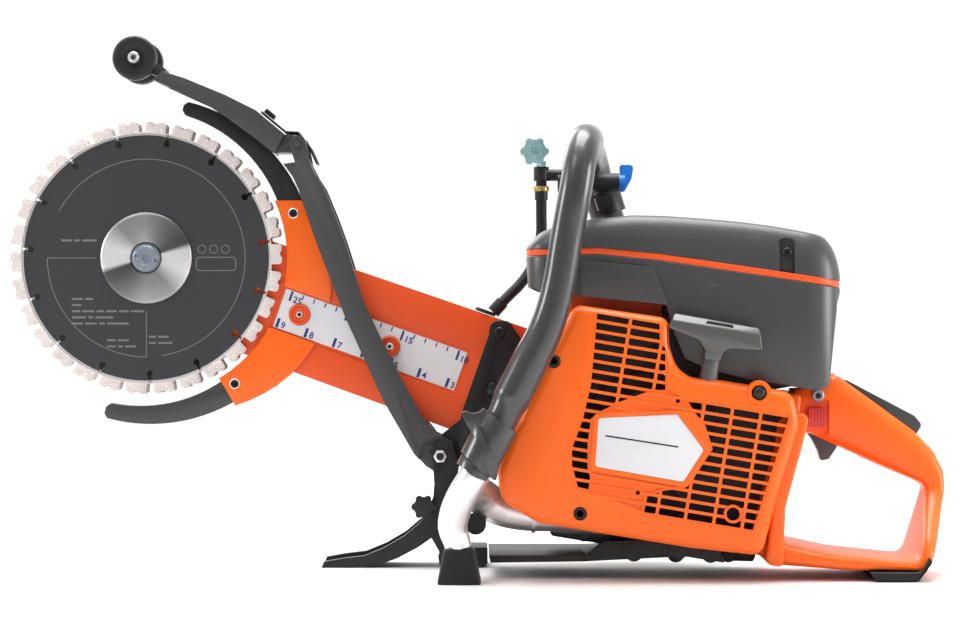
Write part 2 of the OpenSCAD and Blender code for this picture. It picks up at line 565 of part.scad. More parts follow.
bar_right = [[-130, 329], [-124, 320], [-114, 296], [-106, 274], [-99, 251], [-90, 223], [-75, 191], [-57, 156], [-41, 127],
    [-30, 113], [-21, 104]];
bar_left = [[-38, 85], [-48, 96], [-58, 113], [-74, 141], [-90, 175], [-106, 211], [-120, 247], [-130, 273], [-140, 302], [-145, 318], [-150, 329]];
module guide_bar_lower() color(grey) difference() {
    union() {
        for (y0 = [bar_y0 - 9 + 9.1, bar_y1 - 0.9 - bar_leg_t]) slab(y0 + 0.9, y0 + bar_leg_t) {
            difference() {
                polygon(concat([[-137, 343]], bar_right, bar_left, [[-158, 340]]));
                translate([-26, 94]) circle(r = 17.5);
            }
        }
        slab(bar_y0 + 1, bar_y1 - 1) polygon([[-150, 333], [-140, 349.5], [-137, 343], [-132, 331], [-138, 327]]);
        for (y0 = [bar_y0 + 0.9, bar_y1 - 8.9]) difference() {
            hull() {
                rod(hinge_c, y0, y0 + 8, 7);
                rod([-142, 342], y0, y0 + 8, 6);
            }
            rod(hinge_c, 0, 120, 3 + fit);
        }
        for (y0 = [bar_y0 + 9.2, bar_y1 - 15.2]) difference() {
            slab(y0, y0 + 6) polygon(concat([[-30, 113], [-16, 106], [-12, 92], [-18, 82], [-30, 80], [-38, 85], [-48, 96], [-46, 110]]));
            rod(pivot_c, 0, 120, 4 + fit);
        }
        for (y0 = [bar_y0 + 1, bar_y1 - 15.2]) slab(y0, y0 + 14.2) polygon([[-58, 113], [-48, 97], [-45, 97], [-38, 112], [-32, 116], [-41, 127]]);
    }
    rod(pivot_c, 0, 120, 4 + fit);
    rod(hinge_c, 0, 120, 3 + fit);
}
upper_top = [[-157, 365], [-181, 385], [-207, 398], [-241, 412], [-260, 418]];
upper_low = [[-268, 411], [-248, 402], [-224, 391], [-207, 380], [-181, 361], [-166, 349]];
module guide_bar_upper() color(grey) {
    difference() {
        slab(bar_y0 + 2, bar_y1 - 2) polygon(concat(upper_top, upper_low));
        slab(bar_y0 + 5, bar_y1 - 5) polygon([[-150, 355], [-183, 380.5], [-208, 393], [-242, 407], [-255, 411], [-268, 400],
            [-240, 390], [-210, 370], [-166, 340]]);
    }
    slab(bar_y0 + 14, bar_y1 - 14) polygon([[-290, 424], [-288, 434], [-279, 436], [-258, 420.5], [-262, 413.6]]);
    difference() {
        slab(bar_y0 + 9.4, bar_y1 - 9.4) polygon([[-166, 350], [-156, 366], [-150, 364.5], [-143, 358], [-143, 352], [-148, 350]]);
        rod(hinge_c, 0, 120, 3.02);
    }
    rod(hinge_c, bar_y0 - 0.5, bar_y1 + 0.5, 3);
    rod(roller_c, bar_y0 - 4, bar_y1 + 4, 4);
    rod(roller_c, bar_y0 - 5, bar_y0 - 2, 5.5);
    rod(roller_c, bar_y1 + 2, bar_y1 + 5, 5.5);
}
module hinge_strap() color([0.1, 0.1, 0.1]) {
    slab(bar_y0 + 14, bar_y1 - 14) polygon([[-178, 383.6], [-157, 366.4], [-147, 366], [-136.5, 352], [-131, 340], [-129.5, 341],
        [-135, 353.5], [-146, 368], [-156.5, 368.4], [-177, 385.6]]);
    slab(bar_y0 + 20, bar_y1 - 20) polygon([[-176, 385], [-168, 378.6], [-166, 382], [-173, 388]]);
}
module guide_rollers() color(black) for (y0 = [bar_y0 - 1, bar_y1 - 11]) difference() {
    rod(roller_c, y0, y0 + 12, roller_r);
    rod(roller_c, y0 - 1, y0 + 13, 4 + fit);
}

// ---- water ----

hose_path = smooth([for (p = [[60, 78, 311], [60, 78, 298], [60, 78, 284], [57, 77, 264], [50, 74, 250], [41, 69, 238],
    [33, 65, 230], [27, 62, 224]]) concat(p, 4.6)], 3);
module water_hose() color(grey) sweep(hose_path, 12);
module hose_fittings() color(black) {
    translate([60, 78, 311.1]) cylinder(r = 5.6, h = 10);
    translate([60, 78, 321.2]) cylinder(r = 4.6, h = 5.8);
    translate([26.8, 62, 223.8]) rotate([0, -137, 0]) cylinder(r = 5.8, h = 12);
    along_arm() translate([286, 62, 51.5]) cylinder(r = 9, h = 3);
}
module tap_body() color(black) {
    translate([60, 78, 327.3]) cylinder(r = 6.5, h = 12);
    translate([60, 78, 332.2]) rotate([0, 90, 0]) cylinder(r = 5, h = 18);
    translate([74, 78, 326]) rotate([0, 90, 0]) cylinder(r = 8, h = 52);
    translate([119, far_handle_y, 300]) rotate([0, -17.4, 0]) difference() {
        union() {
            cylinder(r = 15.8, h = 18);
            translate([0, 0, 9]) rotate([-90, 0, 0]) cylinder(r = 4.5, h = 19);
            translate([-9, -40, 5]) cube([14, 30, 11]);
        }
        translate([0, 0, -20]) cylinder(r = handle_r + 1.2, h = 60);
    }
}
module water_connector() color([0.45, 0.72, 0.72]) {
    difference() {
        union() {
            slab(64, 82) translate([54, 352]) {
                circle(r = 10);
                for (a = [0 : 60 : 300]) rotate(a) translate([9, 0]) circle(r = 3.2, $fn = 24);
            }
            rod([54, 352], 50, 64, 6);
        }
        rod([54, 352], 40, 70, 3.5);
    }
    slab(74, 82) polygon([[56, 344], [64, 344], [64, 339.5], [56, 339.5]]);
}
module tap_knob() color([0.1, 0.45, 0.85]) {
    translate([126.3, 78, 326]) rotate([0, 90, 0]) cylinder(r = 7.5, h = 5);
    slab(74, 82) polygon(rounded([[127, 341, 2], [139, 341, 3], [137, 329, 3], [131, 318, 2], [127, 318, 1]]));
}

// ---- controls and small parts ----

module starter_grip() color(grey) engine_frame() translate([38, -87, 0]) difference() {
    union() {
        translate([0, 0, 53]) cylinder(r = 7.6, h = 4);
        translate([0, 0, 57]) cylinder(r1 = 7.2, r2 = 7.8, h = 30);
        slab(-10, 10) polygon(rounded([[-36, 103.5, 4], [-37.5, 92, 2.5], [-10, 86, 8], [-7, 78, 1], [7, 78, 1], [12, 82, 6],
            [37.5, 86.5, 2.5], [33, 103, 4]]));
    }
    translate([0, 0, 50]) cylinder(r = 2.6, h = 30);
}
module starter_rope() color([0.85, 0.85, 0.8]) engine_frame() translate([38, -87, 2]) cylinder(r = 1.8, h = 75);

trigger_pivot = [294, 136];
module throttle_trigger() color(grey) difference() {
    slab(-8, 4) polygon(rounded([[288, 142, 4], [300, 142, 5], [305.5, 114, 8], [302, 103.5, 6], [295.5, 94, 3], [289, 92.5, 2],
        [286.6, 101, 8], [282, 110, 10], [275.5, 119, 3], [277, 126, 3]]));
    rod(trigger_pivot, -30, 30, 2.5 + fit);
}
lockout_pivot = [308, 152];
module throttle_lockout() color(grey) difference() {
    slab(-9, 5) polygon(rounded([[303, 160, 2], [310, 159.4, 3], [366, 130, 3], [372.5, 122.5, 4], [366.5, 113, 3], [308, 146.5, 3]]));
    rod(lockout_pivot, -30, 30, 2 + fit);
}
module stop_switch() color([0.85, 0.12, 0.1]) difference() {
    slab(-25, -16.3) polygon(rounded([[277, 137, 2], [291, 137, 2], [291, 121, 2], [277, 121, 2]]));
    for (i = [0 : 4]) translate([278.6 + i * 2.5, -26, 118]) cube([1, 2, 22]);
}
module primer_bulb() color(black) {
    rod([229, 152], -97, -93, 5.8);
    rod([229, 152], -100, -97, 4.6);
}
module belly_pan() color(black) {
    slab(-56, 50) polygon([[14.5, 19], [16, 13], [90, 14], [173, 18], [205, 13], [205, 18], [173, 22], [90, 19]]);
    slab(-56, -43) polygon([[92, 18], [108, 30], [140, 31], [160, 33], [203, 29], [203, 17], [173, 21]]);
    for (c = [[132, 21.5], [168, 23], [194, 20.5]]) rod(c, -57.4, -43, 7.5);
}
module fuel_cap() color(black) difference() {
    union() {
        rod([220, 62], 32.2, 42, 15.7);
        rod([220, 62], 42, 50, 21);
    }
    translate([196, 47, 60]) cube([48, 6, 4]);
}
module vibration_dampers() color(steel) for (c = [[118, 0], [168, 18]]) translate([c[0], c[1], 22.6]) difference() {
    cylinder(r = 9, h = 42);
    translate([0, 0, -1]) cylinder(r = 5.5, h = 44);
}

crankcase();
cylinder_block();
cylinder_shroud();
muffler();
carburettor();
air_filter();
filter_cover();
cover_stripe();
engine_cover();
starter_housing();
starter_badge();
screws();
belly_pan();
rear_handle();
rear_foot();
front_handle();
handle_clamp();
front_leg();
front_foot();
frame_tube();
arm_shell_near();
arm_shell_far();
wing_guard();
upper_blade_guard();
lower_blade_guard();
scale_plate();
arm_bracket();
drive_belt();
disc_bearings();
clutch_cover();
stand_shoe();
guard_pivot_bolt();
shoe_knob();
water_hose();
hose_fittings();
tap_body();
water_connector();
vibration_dampers();
near_disc();
far_disc();
diamond_segments();
disc_flanges();
disc_spindle();
driven_pulley();
drive_pulley();
crankshaft();
flywheel();
rope_pulley();
starter_grip();
starter_rope();
throttle_trigger();
throttle_lockout();
stop_switch();
primer_bulb();
tap_knob();
fuel_cap();
guide_bar_lower();
guide_bar_upper();
hinge_strap();
guide_rollers();
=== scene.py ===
import json
import math
import bpy
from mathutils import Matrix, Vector, geometry


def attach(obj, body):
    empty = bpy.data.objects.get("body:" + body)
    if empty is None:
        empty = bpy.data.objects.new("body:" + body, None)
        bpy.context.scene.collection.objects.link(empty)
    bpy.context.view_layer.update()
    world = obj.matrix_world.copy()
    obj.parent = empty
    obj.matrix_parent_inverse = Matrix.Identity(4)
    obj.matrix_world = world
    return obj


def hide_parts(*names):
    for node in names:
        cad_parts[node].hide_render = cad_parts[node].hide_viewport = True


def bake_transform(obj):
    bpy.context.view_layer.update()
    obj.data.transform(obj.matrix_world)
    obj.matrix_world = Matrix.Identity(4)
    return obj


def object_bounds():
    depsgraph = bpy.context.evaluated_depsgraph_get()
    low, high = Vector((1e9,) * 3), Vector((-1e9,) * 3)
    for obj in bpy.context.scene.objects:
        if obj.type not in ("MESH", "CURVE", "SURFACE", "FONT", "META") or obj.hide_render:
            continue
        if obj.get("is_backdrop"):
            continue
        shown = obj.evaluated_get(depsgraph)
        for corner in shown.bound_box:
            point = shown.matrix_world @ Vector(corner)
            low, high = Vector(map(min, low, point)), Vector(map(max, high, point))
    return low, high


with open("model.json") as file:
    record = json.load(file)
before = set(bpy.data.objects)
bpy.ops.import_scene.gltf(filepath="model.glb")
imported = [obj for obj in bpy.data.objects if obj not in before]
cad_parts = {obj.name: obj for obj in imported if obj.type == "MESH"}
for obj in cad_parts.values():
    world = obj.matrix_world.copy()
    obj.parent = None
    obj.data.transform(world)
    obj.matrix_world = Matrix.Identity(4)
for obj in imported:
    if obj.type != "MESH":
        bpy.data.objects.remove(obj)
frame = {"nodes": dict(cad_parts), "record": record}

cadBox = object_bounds()
mm = 0.001
print("frame loaded:", len(frame["nodes"]), "nodes")

# The camera comes first, because the view settles every proportion

view = {"place": (0.0075, -2.300, 0.228), "tilt": 89.525, "lens": 104.1}
bpy.ops.object.camera_add(location=view["place"], rotation=(math.radians(view["tilt"]), 0, 0))
camera = bpy.context.object
camera.data.lens = view["lens"]
camera.data.clip_end = 30
bpy.context.scene.camera = camera


# Hand tools

def selectOnly(thing):
    for other in bpy.context.selected_objects:
        other.select_set(False)
    thing.select_set(True)
    bpy.context.view_layer.objects.active = thing


def editing(thing, work):
    selectOnly(thing)
    bpy.ops.object.mode_set(mode="EDIT")
    bpy.ops.mesh.select_all(action="SELECT")
    work()
    bpy.ops.object.mode_set(mode="OBJECT")


def shapeWith(thing, kind, **settings):
    selectOnly(thing)
    bpy.ops.object.modifier_add(type=kind)
    added = thing.modifiers[-1]
    for name, value in settings.items():
        setattr(added, name, value)
    bpy.ops.object.modifier_apply(modifier=added.name)
    if not thing.data.polygons:
        print("EMPTY after", kind, thing.name)
    return thing


def softEdges(thing, width, segments=3, angle=45, profile=0.5):
    return shapeWith(thing, "BEVEL", width=width * mm, segments=segments, profile=profile,
        limit_method="ANGLE", angle_limit=math.radians(angle), use_clamp_overlap=True,
        miter_outer="MITER_ARC")


def combine(thing, operation, other):
    shapeWith(thing, "BOOLEAN", operation=operation, object=other, solver="EXACT")
    bpy.data.objects.remove(other)
    return thing


def cutAway(thing, other):
    return combine(thing, "DIFFERENCE", other)


def joined(name, things):
    selectOnly(things[0])
    for thing in things[1:]:
        thing.select_set(True)
    bpy.ops.object.join()
    things[0].name = name
    return things[0]


def cleaned(thing, inside=False):
    def work():
        bpy.ops.mesh.remove_doubles(threshold=0.00001)
        bpy.ops.mesh.normals_make_consistent(inside=inside)
    editing(thing, work)
    return thing


def applyPlace(thing):
    selectOnly(thing)
    bpy.ops.object.transform_apply(location=True, rotation=True, scale=True)
    return thing


# A block between two planes across the saw, from an outline of (x, z) in millimetres
def outlineBlock(name, outline, near, far):
    bpy.ops.mesh.primitive_circle_add(vertices=len(outline), fill_type="NGON")
    block = bpy.context.object
    block.name = name
    for corner, (x, z) in zip(block.data.vertices, outline):
        corner.co = (x * mm, near * mm, z * mm)

    def work():
        bpy.ops.mesh.extrude_region_move(TRANSFORM_OT_translate={"value": (0, (far - near) * mm, 0)})
        bpy.ops.mesh.select_all(action="SELECT")
        bpy.ops.mesh.normals_make_consistent(inside=False)
    editing(block, work)
    return block


# A turned part: a profile of (radius, height) in millimetres round an axis through a place
def turnedPart(name, profile, place, axis=(0, 1, 0), steps=64):
    bpy.ops.mesh.primitive_circle_add(vertices=len(profile), fill_type="NOTHING")
    part = bpy.context.object
    part.name = name
    for corner, (r, h) in zip(part.data.vertices, profile):
        corner.co = (r * mm, 0, h * mm)
    if profile[0][0] == 0 and profile[-1][0] == 0:
        def openAxis():
            bpy.ops.mesh.select_all(action="DESELECT")
            bpy.ops.object.mode_set(mode="OBJECT")
            ends = {0, len(profile) - 1}
            for edge in part.data.edges:
                edge.select = set(edge.vertices) == ends
            bpy.ops.object.mode_set(mode="EDIT")
            bpy.ops.mesh.delete(type="EDGE")
        editing(part, openAxis)
    shapeWith(part, "SCREW", axis="Z", angle=2 * math.pi, steps=steps, render_steps=steps,
        use_merge_vertices=True, merge_threshold=0.00001)
    part.rotation_mode = "QUATERNION"
    part.rotation_quaternion = Vector((0, 0, 1)).rotation_difference(Vector(axis))
    part.location = Vector(place) * mm
    applyPlace(part)
    return cleaned(part)


# A round tube through points in millimetres, with a radius at each point
def tubeThrough(name, points, radii, roundness=6, smoothness=8):
    bpy.ops.curve.primitive_bezier_curve_add()
    line = bpy.context.object
    line.name = name
    spline = line.data.splines[0]
    spline.bezier_points.add(len(points) - 2)
    if not isinstance(radii, (list, tuple)):
        radii = [radii] * len(points)
    for knot, place, radius in zip(spline.bezier_points, points, radii):
        knot.co = Vector(place) * mm
        knot.handle_left_type = knot.handle_right_type = "AUTO"
        knot.radius = radius
    line.data.bevel_depth = mm
    line.data.bevel_resolution = roundness
    line.data.resolution_u = smoothness
    line.data.use_fill_caps = True
    selectOnly(line)
    bpy.ops.object.convert(target="MESH")
    return cleaned(bpy.context.object)


# A copy of a frame node with its doubles merged, its flat faces whole again and its edges broken
def refinedCopy(node, edge=0.8, segments=2, angle=40):
    selectOnly(frame["nodes"][node])
    bpy.ops.object.duplicate()
    piece = bpy.context.object
    piece.name = node + "_piece"
    piece.parent = None
    for tag in list(piece.keys()):
        del piece[tag]

    def work():
        bpy.ops.mesh.remove_doubles(threshold=0.00001)
        bpy.ops.mesh.dissolve_limited(angle_limit=math.radians(1.5))
    editing(piece, work)
    if edge:
        softEdges(piece, edge, segments, angle)
    return piece


def roundedOutline(corners, steps=6):
    made = []
    for i, (x, z, radius) in enumerate(corners):
        here = Vector((x, z))
        if not radius:
            made.append((x, z))
            continue
        before = Vector(corners[i - 1][:2]) - here
        after = Vector(corners[(i + 1) % len(corners)][:2]) - here
        half = before.angle(after) / 2
        middle = here + (before.normalized() + after.normalized()).normalized() * radius / math.sin(half)
        reach = radius / math.tan(half)
        start = here + before.normalized() * reach - middle
        end = here + after.normalized() * reach - middle
        sweep = start.angle_signed(end)
        for k in range(steps + 1):
            turn = sweep * k / steps
            made.append((middle.x + start.x * math.cos(turn) + start.y * math.sin(turn),
                middle.y - start.x * math.sin(turn) + start.y * math.cos(turn)))
    return made


def roundedBlock(name, corners, steps, near, far):
    return outlineBlock(name, roundedOutline(corners, steps), near, far)


def drilled(thing, radius, low, high, place, axis=(0, 1, 0), steps=32):
    return cutAway(thing, turnedPart("drill", [(0, low), (radius, low), (radius, high), (0, high)], place,
        axis, steps))


# The same outline moved outwards by so many millimetres; the corners run anticlockwise or clockwise
def grown(outline, by):
    turns = sum(x0 * z1 - x1 * z0 for (x0, z0), (x1, z1) in zip(outline, outline[1:] + outline[:1]))
    made = []
    for i, corner in enumerate(outline):
        here = Vector(corner)
        before = (here - Vector(outline[i - 1])).normalized()
        after = (Vector(outline[(i + 1) % len(outline)]) - here).normalized()
        outward = Vector((before.y + after.y, -before.x - after.x)).normalized() * (by
            if turns > 0 else -by)
        made.append(tuple(here + outward / max(0.45, math.cos(before.angle(after) / 2))))
    return made


def finishPiece(piece, finish, body="frame", instead=(), smooth=35):
    applyPlace(piece)
    bpy.ops.object.shade_smooth_by_angle(angle=math.radians(smooth))
    piece.data.materials.clear()
    piece.data.materials.append(finishes[finish])
    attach(piece, body)
    if instead:
        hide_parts(*instead)
    return piece


def refined(node, finish, edge, segments=3, angle=40, body="frame"):
    return finishPiece(refinedCopy(node, edge, segments, angle), finish, body, [node])


# Finishes

class Wire:
    def __init__(self, maker, socket):
        self.maker = maker
        self.socket = socket

    def sum(self, operation, *values):
        return self.maker.node("ShaderNodeMath", {"operation": operation}, values)

    def __add__(self, other):
        return self.sum("ADD", self, other)

    def __sub__(self, other):
        return self.sum("SUBTRACT", self, other)

    def __mul__(self, other):
        return self.sum("MULTIPLY", self, other)

    def __truediv__(self, other):
        return self.sum("DIVIDE", self, other)

    def __rsub__(self, other):
        return self.sum("SUBTRACT", other, self)

    def __pow__(self, other):
        return self.sum("POWER", self, other)

    def __gt__(self, other):
        return self.sum("GREATER_THAN", self, other)

    def __lt__(self, other):
        return self.sum("LESS_THAN", self, other)

    __radd__ = __add__
    __rmul__ = __mul__


class Finish:
    def __init__(self, name, **constants):
        self.material = bpy.data.materials.new(name)
        self.material.use_nodes = True
        self.tree = self.material.node_tree
        self.shader = self.tree.nodes["Principled BSDF"]
        for socket, value in constants.items():
            self.shader.inputs[socket.replace("_", " ")].default_value = value
        self.place = self.node("ShaderNodeTexCoord", {}, {}, "Object")

    def node(self, kind, settings, inputs, output=0):
        made = self.tree.nodes.new(kind)
        for name, value in settings.items():
            if name == "stops":
                ramp = made.color_ramp
                while len(ramp.elements) < len(value):
                    ramp.elements.new(0.5)
                for stop, (position, colour) in zip(ramp.elements, value):
                    stop.position = position
                    stop.color = colour
            else:
                setattr(made, name, value)
        for key, value in (inputs.items() if isinstance(inputs, dict) else enumerate(inputs)):
            if isinstance(value, Wire):
                self.tree.links.new(value.socket, made.inputs[key])
            else:
                made.inputs[key].default_value = value
        return Wire(self, made.outputs[output])

    def noise(self, scale, detail=3, stretch=(1, 1, 1)):
        moved = self.node("ShaderNodeMapping", {}, {"Vector": self.place, "Scale": stretch})
        return self.node("ShaderNodeTexNoise", {}, {"Vector": moved, "Scale": scale, "Detail": detail},
            "Fac")

    def blend(self, amount, first, second):
        return self.node("ShaderNodeMix", {"data_type": "RGBA"}, {0: amount, 6: first, 7: second}, 2)

    def ramp(self, value, low, high):
        return self.node("ShaderNodeMapRange", {}, {"Value": value, "From Min": low, "From Max": high})

    def axes(self):
        split = self.node("ShaderNodeSeparateXYZ", {}, {0: self.place}, "X")
        outputs = split.socket.node.outputs
        return split, Wire(self, outputs["Y"]), Wire(self, outputs["Z"])

    def feed(self, socket, wire):
        self.tree.links.new(wire.socket, self.shader.inputs[socket])
        return self

    def bump(self, height, distance, strength=1.0):
        return self.feed("Normal", self.node("ShaderNodeBump", {},
            {"Height": height, "Distance": distance * mm, "Strength": strength}, "Normal"))


def colour(red, green, blue):
    return (red, green, blue, 1)


# A moulded or painted surface: uneven tone, grain, and scuffs that lighten it and roughen it
def moulded(name, tone, worn, roughness, grain=0.05, grainScale=1600, scuffs=0.25, spread=0.12,
    **constants):
    made = Finish(name, **constants)
    patches = made.noise(9, 4)
    scratches = made.ramp(made.noise(46, 6, (1, 1, 3)), 0.60, 0.78) * made.ramp(made.noise(14, 2), 0.45,
        0.7)
    shade = made.blend(patches, tone, tuple(c * 0.86 for c in tone[:3]) + (1,))
    made.feed("Base Color", made.blend(scratches * scuffs, shade, worn))
    made.feed("Roughness", made.ramp(patches, 0, 1) * spread + (roughness - spread / 2) + scratches * 0.12)
    made.bump(made.noise(grainScale, 2) + scratches * 0.4, grain)
    return made.material


def discFinish(name, tone):
    made = Finish(name, Metallic=0.0)
    x, y, z = made.axes()
    across, up = x - disc["centre"][0] * mm, z - disc["centre"][1] * mm
    radius = (across * across + up * up) ** 0.5
    angle = made.node("ShaderNodeMath", {"operation": "ARCTAN2"}, (across, up)) * (180 / math.pi)

    def line(value, middle, half=0.00028):
        return made.node("ShaderNodeMath", {"operation": "COMPARE"}, (value, middle, half))
    marking = line(radius, 0.0837) * (angle > -62) * (angle < 171)
    marking = marking + line(radius, 0.0837) * (angle < -90)
    marking = marking + line(up, 0.0) * (across < -0.0425) * (across > -0.084)
    marking = marking + line(across, 0.0) * (up < -0.045) * (up > -0.084)
    rim = made.ramp(radius, 0.1037, 0.1040)
    swirl = made.node("ShaderNodeTexNoise", {"noise_dimensions": "1D"},
        {"W": radius * 900, "Scale": 1.0, "Detail": 4}, "Fac")
    patches = made.noise(16, 4)
    base = made.blend(patches, tone, tuple(c * 0.72 for c in tone[:3]) + (1,))
    base = made.blend(marking * 0.5, base, colour(0.30, 0.30, 0.31))
    made.feed("Base Color", made.blend(rim, base, colour(0.62, 0.62, 0.63)))
    made.feed("Metallic", rim * 0.9)
    made.feed("Roughness", patches * 0.16 + 0.42 - rim * 0.12)
    made.bump(swirl * 0.5 + made.noise(1400, 2), 0.03)
    return made.material


# Steel turned in a lathe: fine rings, and painted reflection: bright and dark fans by angle in the base
# colour, standing in for the highlights such a face shows
def turnedSteel(name):
    made = Finish(name, Metallic=0.75)
    x, y, z = made.axes()
    across, up = x - disc["centre"][0] * mm, z - disc["centre"][1] * mm
    radius = (across * across + up * up) ** 0.5
    rings = made.node("ShaderNodeTexNoise", {"noise_dimensions": "1D"},
        {"W": radius * 5200, "Scale": 1.0, "Detail": 3}, "Fac")
    angle = made.node("ShaderNodeMath", {"operation": "ARCTAN2"}, (across, up))
    fan = made.node("ShaderNodeMath", {"operation": "FRACT"}, (angle / math.pi + 1,))
    # painted reflection: light and dark sectors round the shaft, put into the base colour
    paintedReflectionFans = made.node("ShaderNodeValToRGB", {"stops": [(at, colour(tone, tone, tone * 1.01))
        for at, tone in ((0.0, 0.30), (0.17, 0.13), (0.33, 0.03), (0.39, 0.03), (0.43, 0.75), (0.60, 0.8),
        (0.78, 0.26), (1.0, 0.30))]}, {0: fan}, "Color")
    made.feed("Base Color", made.blend(rings * 0.3, paintedReflectionFans, colour(0.4, 0.4, 0.41)))
    made.feed("Roughness", rings * 0.22 + 0.26)
    made.bump(rings, 0.03)
    return made.material


def metal(name, tone, roughness, grain, scale, metallic=1.0):
    made = Finish(name, Metallic=metallic)
    patches = made.noise(12, 4)
    made.feed("Base Color", made.blend(patches, tone, tuple(c * 0.8 for c in tone[:3]) + (1,)))
    made.feed("Roughness", patches * 0.2 + roughness)
    made.bump(made.noise(scale, 4), grain)
    return made.material


def diamondMatrix():
    made = Finish("diamond_matrix", Metallic=0.15)
    grit = made.noise(900, 3)
    stain = made.noise(60, 4)
    base = made.blend(stain, colour(0.76, 0.69, 0.66), colour(0.46, 0.40, 0.38))
    made.feed("Base Color", made.blend(made.ramp(grit, 0.58, 0.70), base, colour(1.0, 0.96, 0.93)))
    made.feed("Roughness", stain * 0.2 + 0.55)
    made.bump(grit + stain * 0.6, 0.25)
    return made.material


def filterFoam():
    made = Finish("filter_foam", Roughness=0.95)
    cells = made.node("ShaderNodeTexVoronoi", {}, {"Vector": made.place, "Scale": 500}, "Distance")
    made.feed("Base Color", made.blend(cells, colour(0.5, 0.45, 0.3), colour(0.25, 0.22, 0.14)))
    made.bump(cells, 0.5)
    return made.material


def ropeFibre():
    made = Finish("rope_fibre", Roughness=0.8)
    x, y, z = made.axes()
    lay = made.node("ShaderNodeMath", {"operation": "SINE"}, (z * 2600 + x * 1500 + y * 2200,)) * 0.5 + 0.5
    made.feed("Base Color", made.blend(lay, colour(0.35, 0.35, 0.33), colour(0.72, 0.71, 0.66)))
    made.bump(lay, 0.4)
    return made.material


def clearTeal():
    made = Finish("clear_teal", Transmission_Weight=0.75, IOR=1.5)
    made.feed("Base Color", made.blend(made.noise(70, 3), colour(0.10, 0.26, 0.28),
        colour(0.45, 0.62, 0.64)))
    made.feed("Roughness", made.noise(40, 3) * 0.12 + 0.08)
    made.bump(made.noise(300, 2), 0.05)
    return made.material


disc = {"centre": (-275, 261)}
orange = colour(0.95, 0.138, 0.008)
finishes = {
    "orange_plastic": moulded("orange_plastic", orange, colour(1.0, 0.30, 0.09), 0.36, grain=0.012,
        scuffs=0.15, Specular_IOR_Level=0.3, Coat_Weight=0.12, Coat_Roughness=0.15),
    "orange_paint": moulded("orange_paint", colour(0.78, 0.085, 0.012), colour(0.92, 0.22, 0.08), 0.45,
        grain=0.03, grainScale=700, scuffs=0.2, Specular_IOR_Level=0.35),
    "grey_plastic": moulded("grey_plastic", colour(0.046, 0.046, 0.048), colour(0.13, 0.13, 0.135), 0.36,
        grain=0.03, scuffs=0.25),
    "grip_rubber": moulded("grip_rubber", colour(0.034, 0.034, 0.036), colour(0.13, 0.13, 0.135), 0.30,
        grain=0.02, scuffs=0.25, Coat_Weight=0.4, Coat_Roughness=0.16),
    # lighter than the grey covers' plastic: the T grip's extra lightness is painted sheen
    "pull_plastic_painted_sheen": moulded("pull_plastic_painted_sheen", colour(0.080, 0.078, 0.077), colour(0.2, 0.2, 0.2), 0.3,
        grain=0.02, scuffs=0.25, Coat_Weight=0.3),
    "black_plastic": moulded("black_plastic", colour(0.015, 0.015, 0.016), colour(0.08, 0.08, 0.08), 0.42,
        grain=0.04, scuffs=0.3, Specular_IOR_Level=0.35),
    "black_rubber": moulded("black_rubber", colour(0.012, 0.012, 0.0125), colour(0.06, 0.06, 0.06), 0.55,
        grain=0.06, grainScale=900, scuffs=0.3, Specular_IOR_Level=0.3),
    "black_paint": moulded("black_paint", colour(0.012, 0.012, 0.014), colour(0.14, 0.14, 0.15), 0.4,
        grain=0.03, grainScale=800, scuffs=0.25, Metallic=0.1, Specular_IOR_Level=0.35),
    "disc_steel": discFinish("disc_steel", colour(0.025, 0.025, 0.028)),
    "diamond_matrix": diamondMatrix(),
    "brushed_steel": turnedSteel("brushed_steel"),
    "cast_alloy": metal("cast_alloy", colour(0.86, 0.86, 0.87), 0.26, 0.05, 500, 0.85),
    "dark_alloy": metal("dark_alloy", colour(0.030, 0.030, 0.032), 0.5, 0.15, 350, 0.3),
    "blued_steel": metal("blued_steel", colour(0.30, 0.34, 0.40), 0.3, 0.06, 900, 0.8),
    "printed_ink": moulded("printed_ink", colour(0.15, 0.15, 0.155), colour(0.06, 0.06, 0.06), 0.5,
        grain=0.01, scuffs=0.6),
    "navy_ink": moulded("navy_ink", colour(0.010, 0.022, 0.16), colour(0.05, 0.07, 0.25), 0.4, grain=0.01,
        scuffs=0.2),
    "brass": metal("brass", colour(0.55, 0.38, 0.14), 0.3, 0.05, 600, 0.9),
    "white_label": moulded("white_label", colour(0.72, 0.72, 0.74), colour(0.55, 0.55, 0.56), 0.25,
        grain=0.008, scuffs=0.12),
    "filter_foam": filterFoam(),
    "rope_fibre": ropeFibre(),
    "clear_teal": clearTeal(),
    "blue_plastic": moulded("blue_plastic", colour(0.012, 0.21, 0.75), colour(0.10, 0.40, 0.9), 0.3,
        grain=0.02, scuffs=0.15),
    "red_plastic": moulded("red_plastic", colour(0.66, 0.045, 0.04), colour(0.85, 0.2, 0.16), 0.35,
        grain=0.02, scuffs=0.2)}
print("finishes made:", len(finishes))

# the frame's own nodes get their slot's finish before any of them is replaced
slotOf = {part["node"]: part["material_slot"] for part in frame["record"]["subparts"]}
for node, thing in frame["nodes"].items():
    thing.data.materials.clear()
    thing.data.materials.append(finishes[slotOf[node]])
    selectOnly(thing)
    bpy.ops.object.shade_smooth_by_angle(angle=math.radians(30))

# Discs

def besideDisc(angle, radius):
    return (disc["centre"][0] + radius * math.sin(math.radians(angle)),
        disc["centre"][1] + radius * math.cos(math.radians(angle)))


def onShaft(y):
    return (disc["centre"][0], y, disc["centre"][1])


for node in ("near_disc", "far_disc"):
    refined(node, "disc_steel", 0.25, 1, body="disc_shaft")
refined("diamond_segments", "diamond_matrix", 0.35, 2, body="disc_shaft")

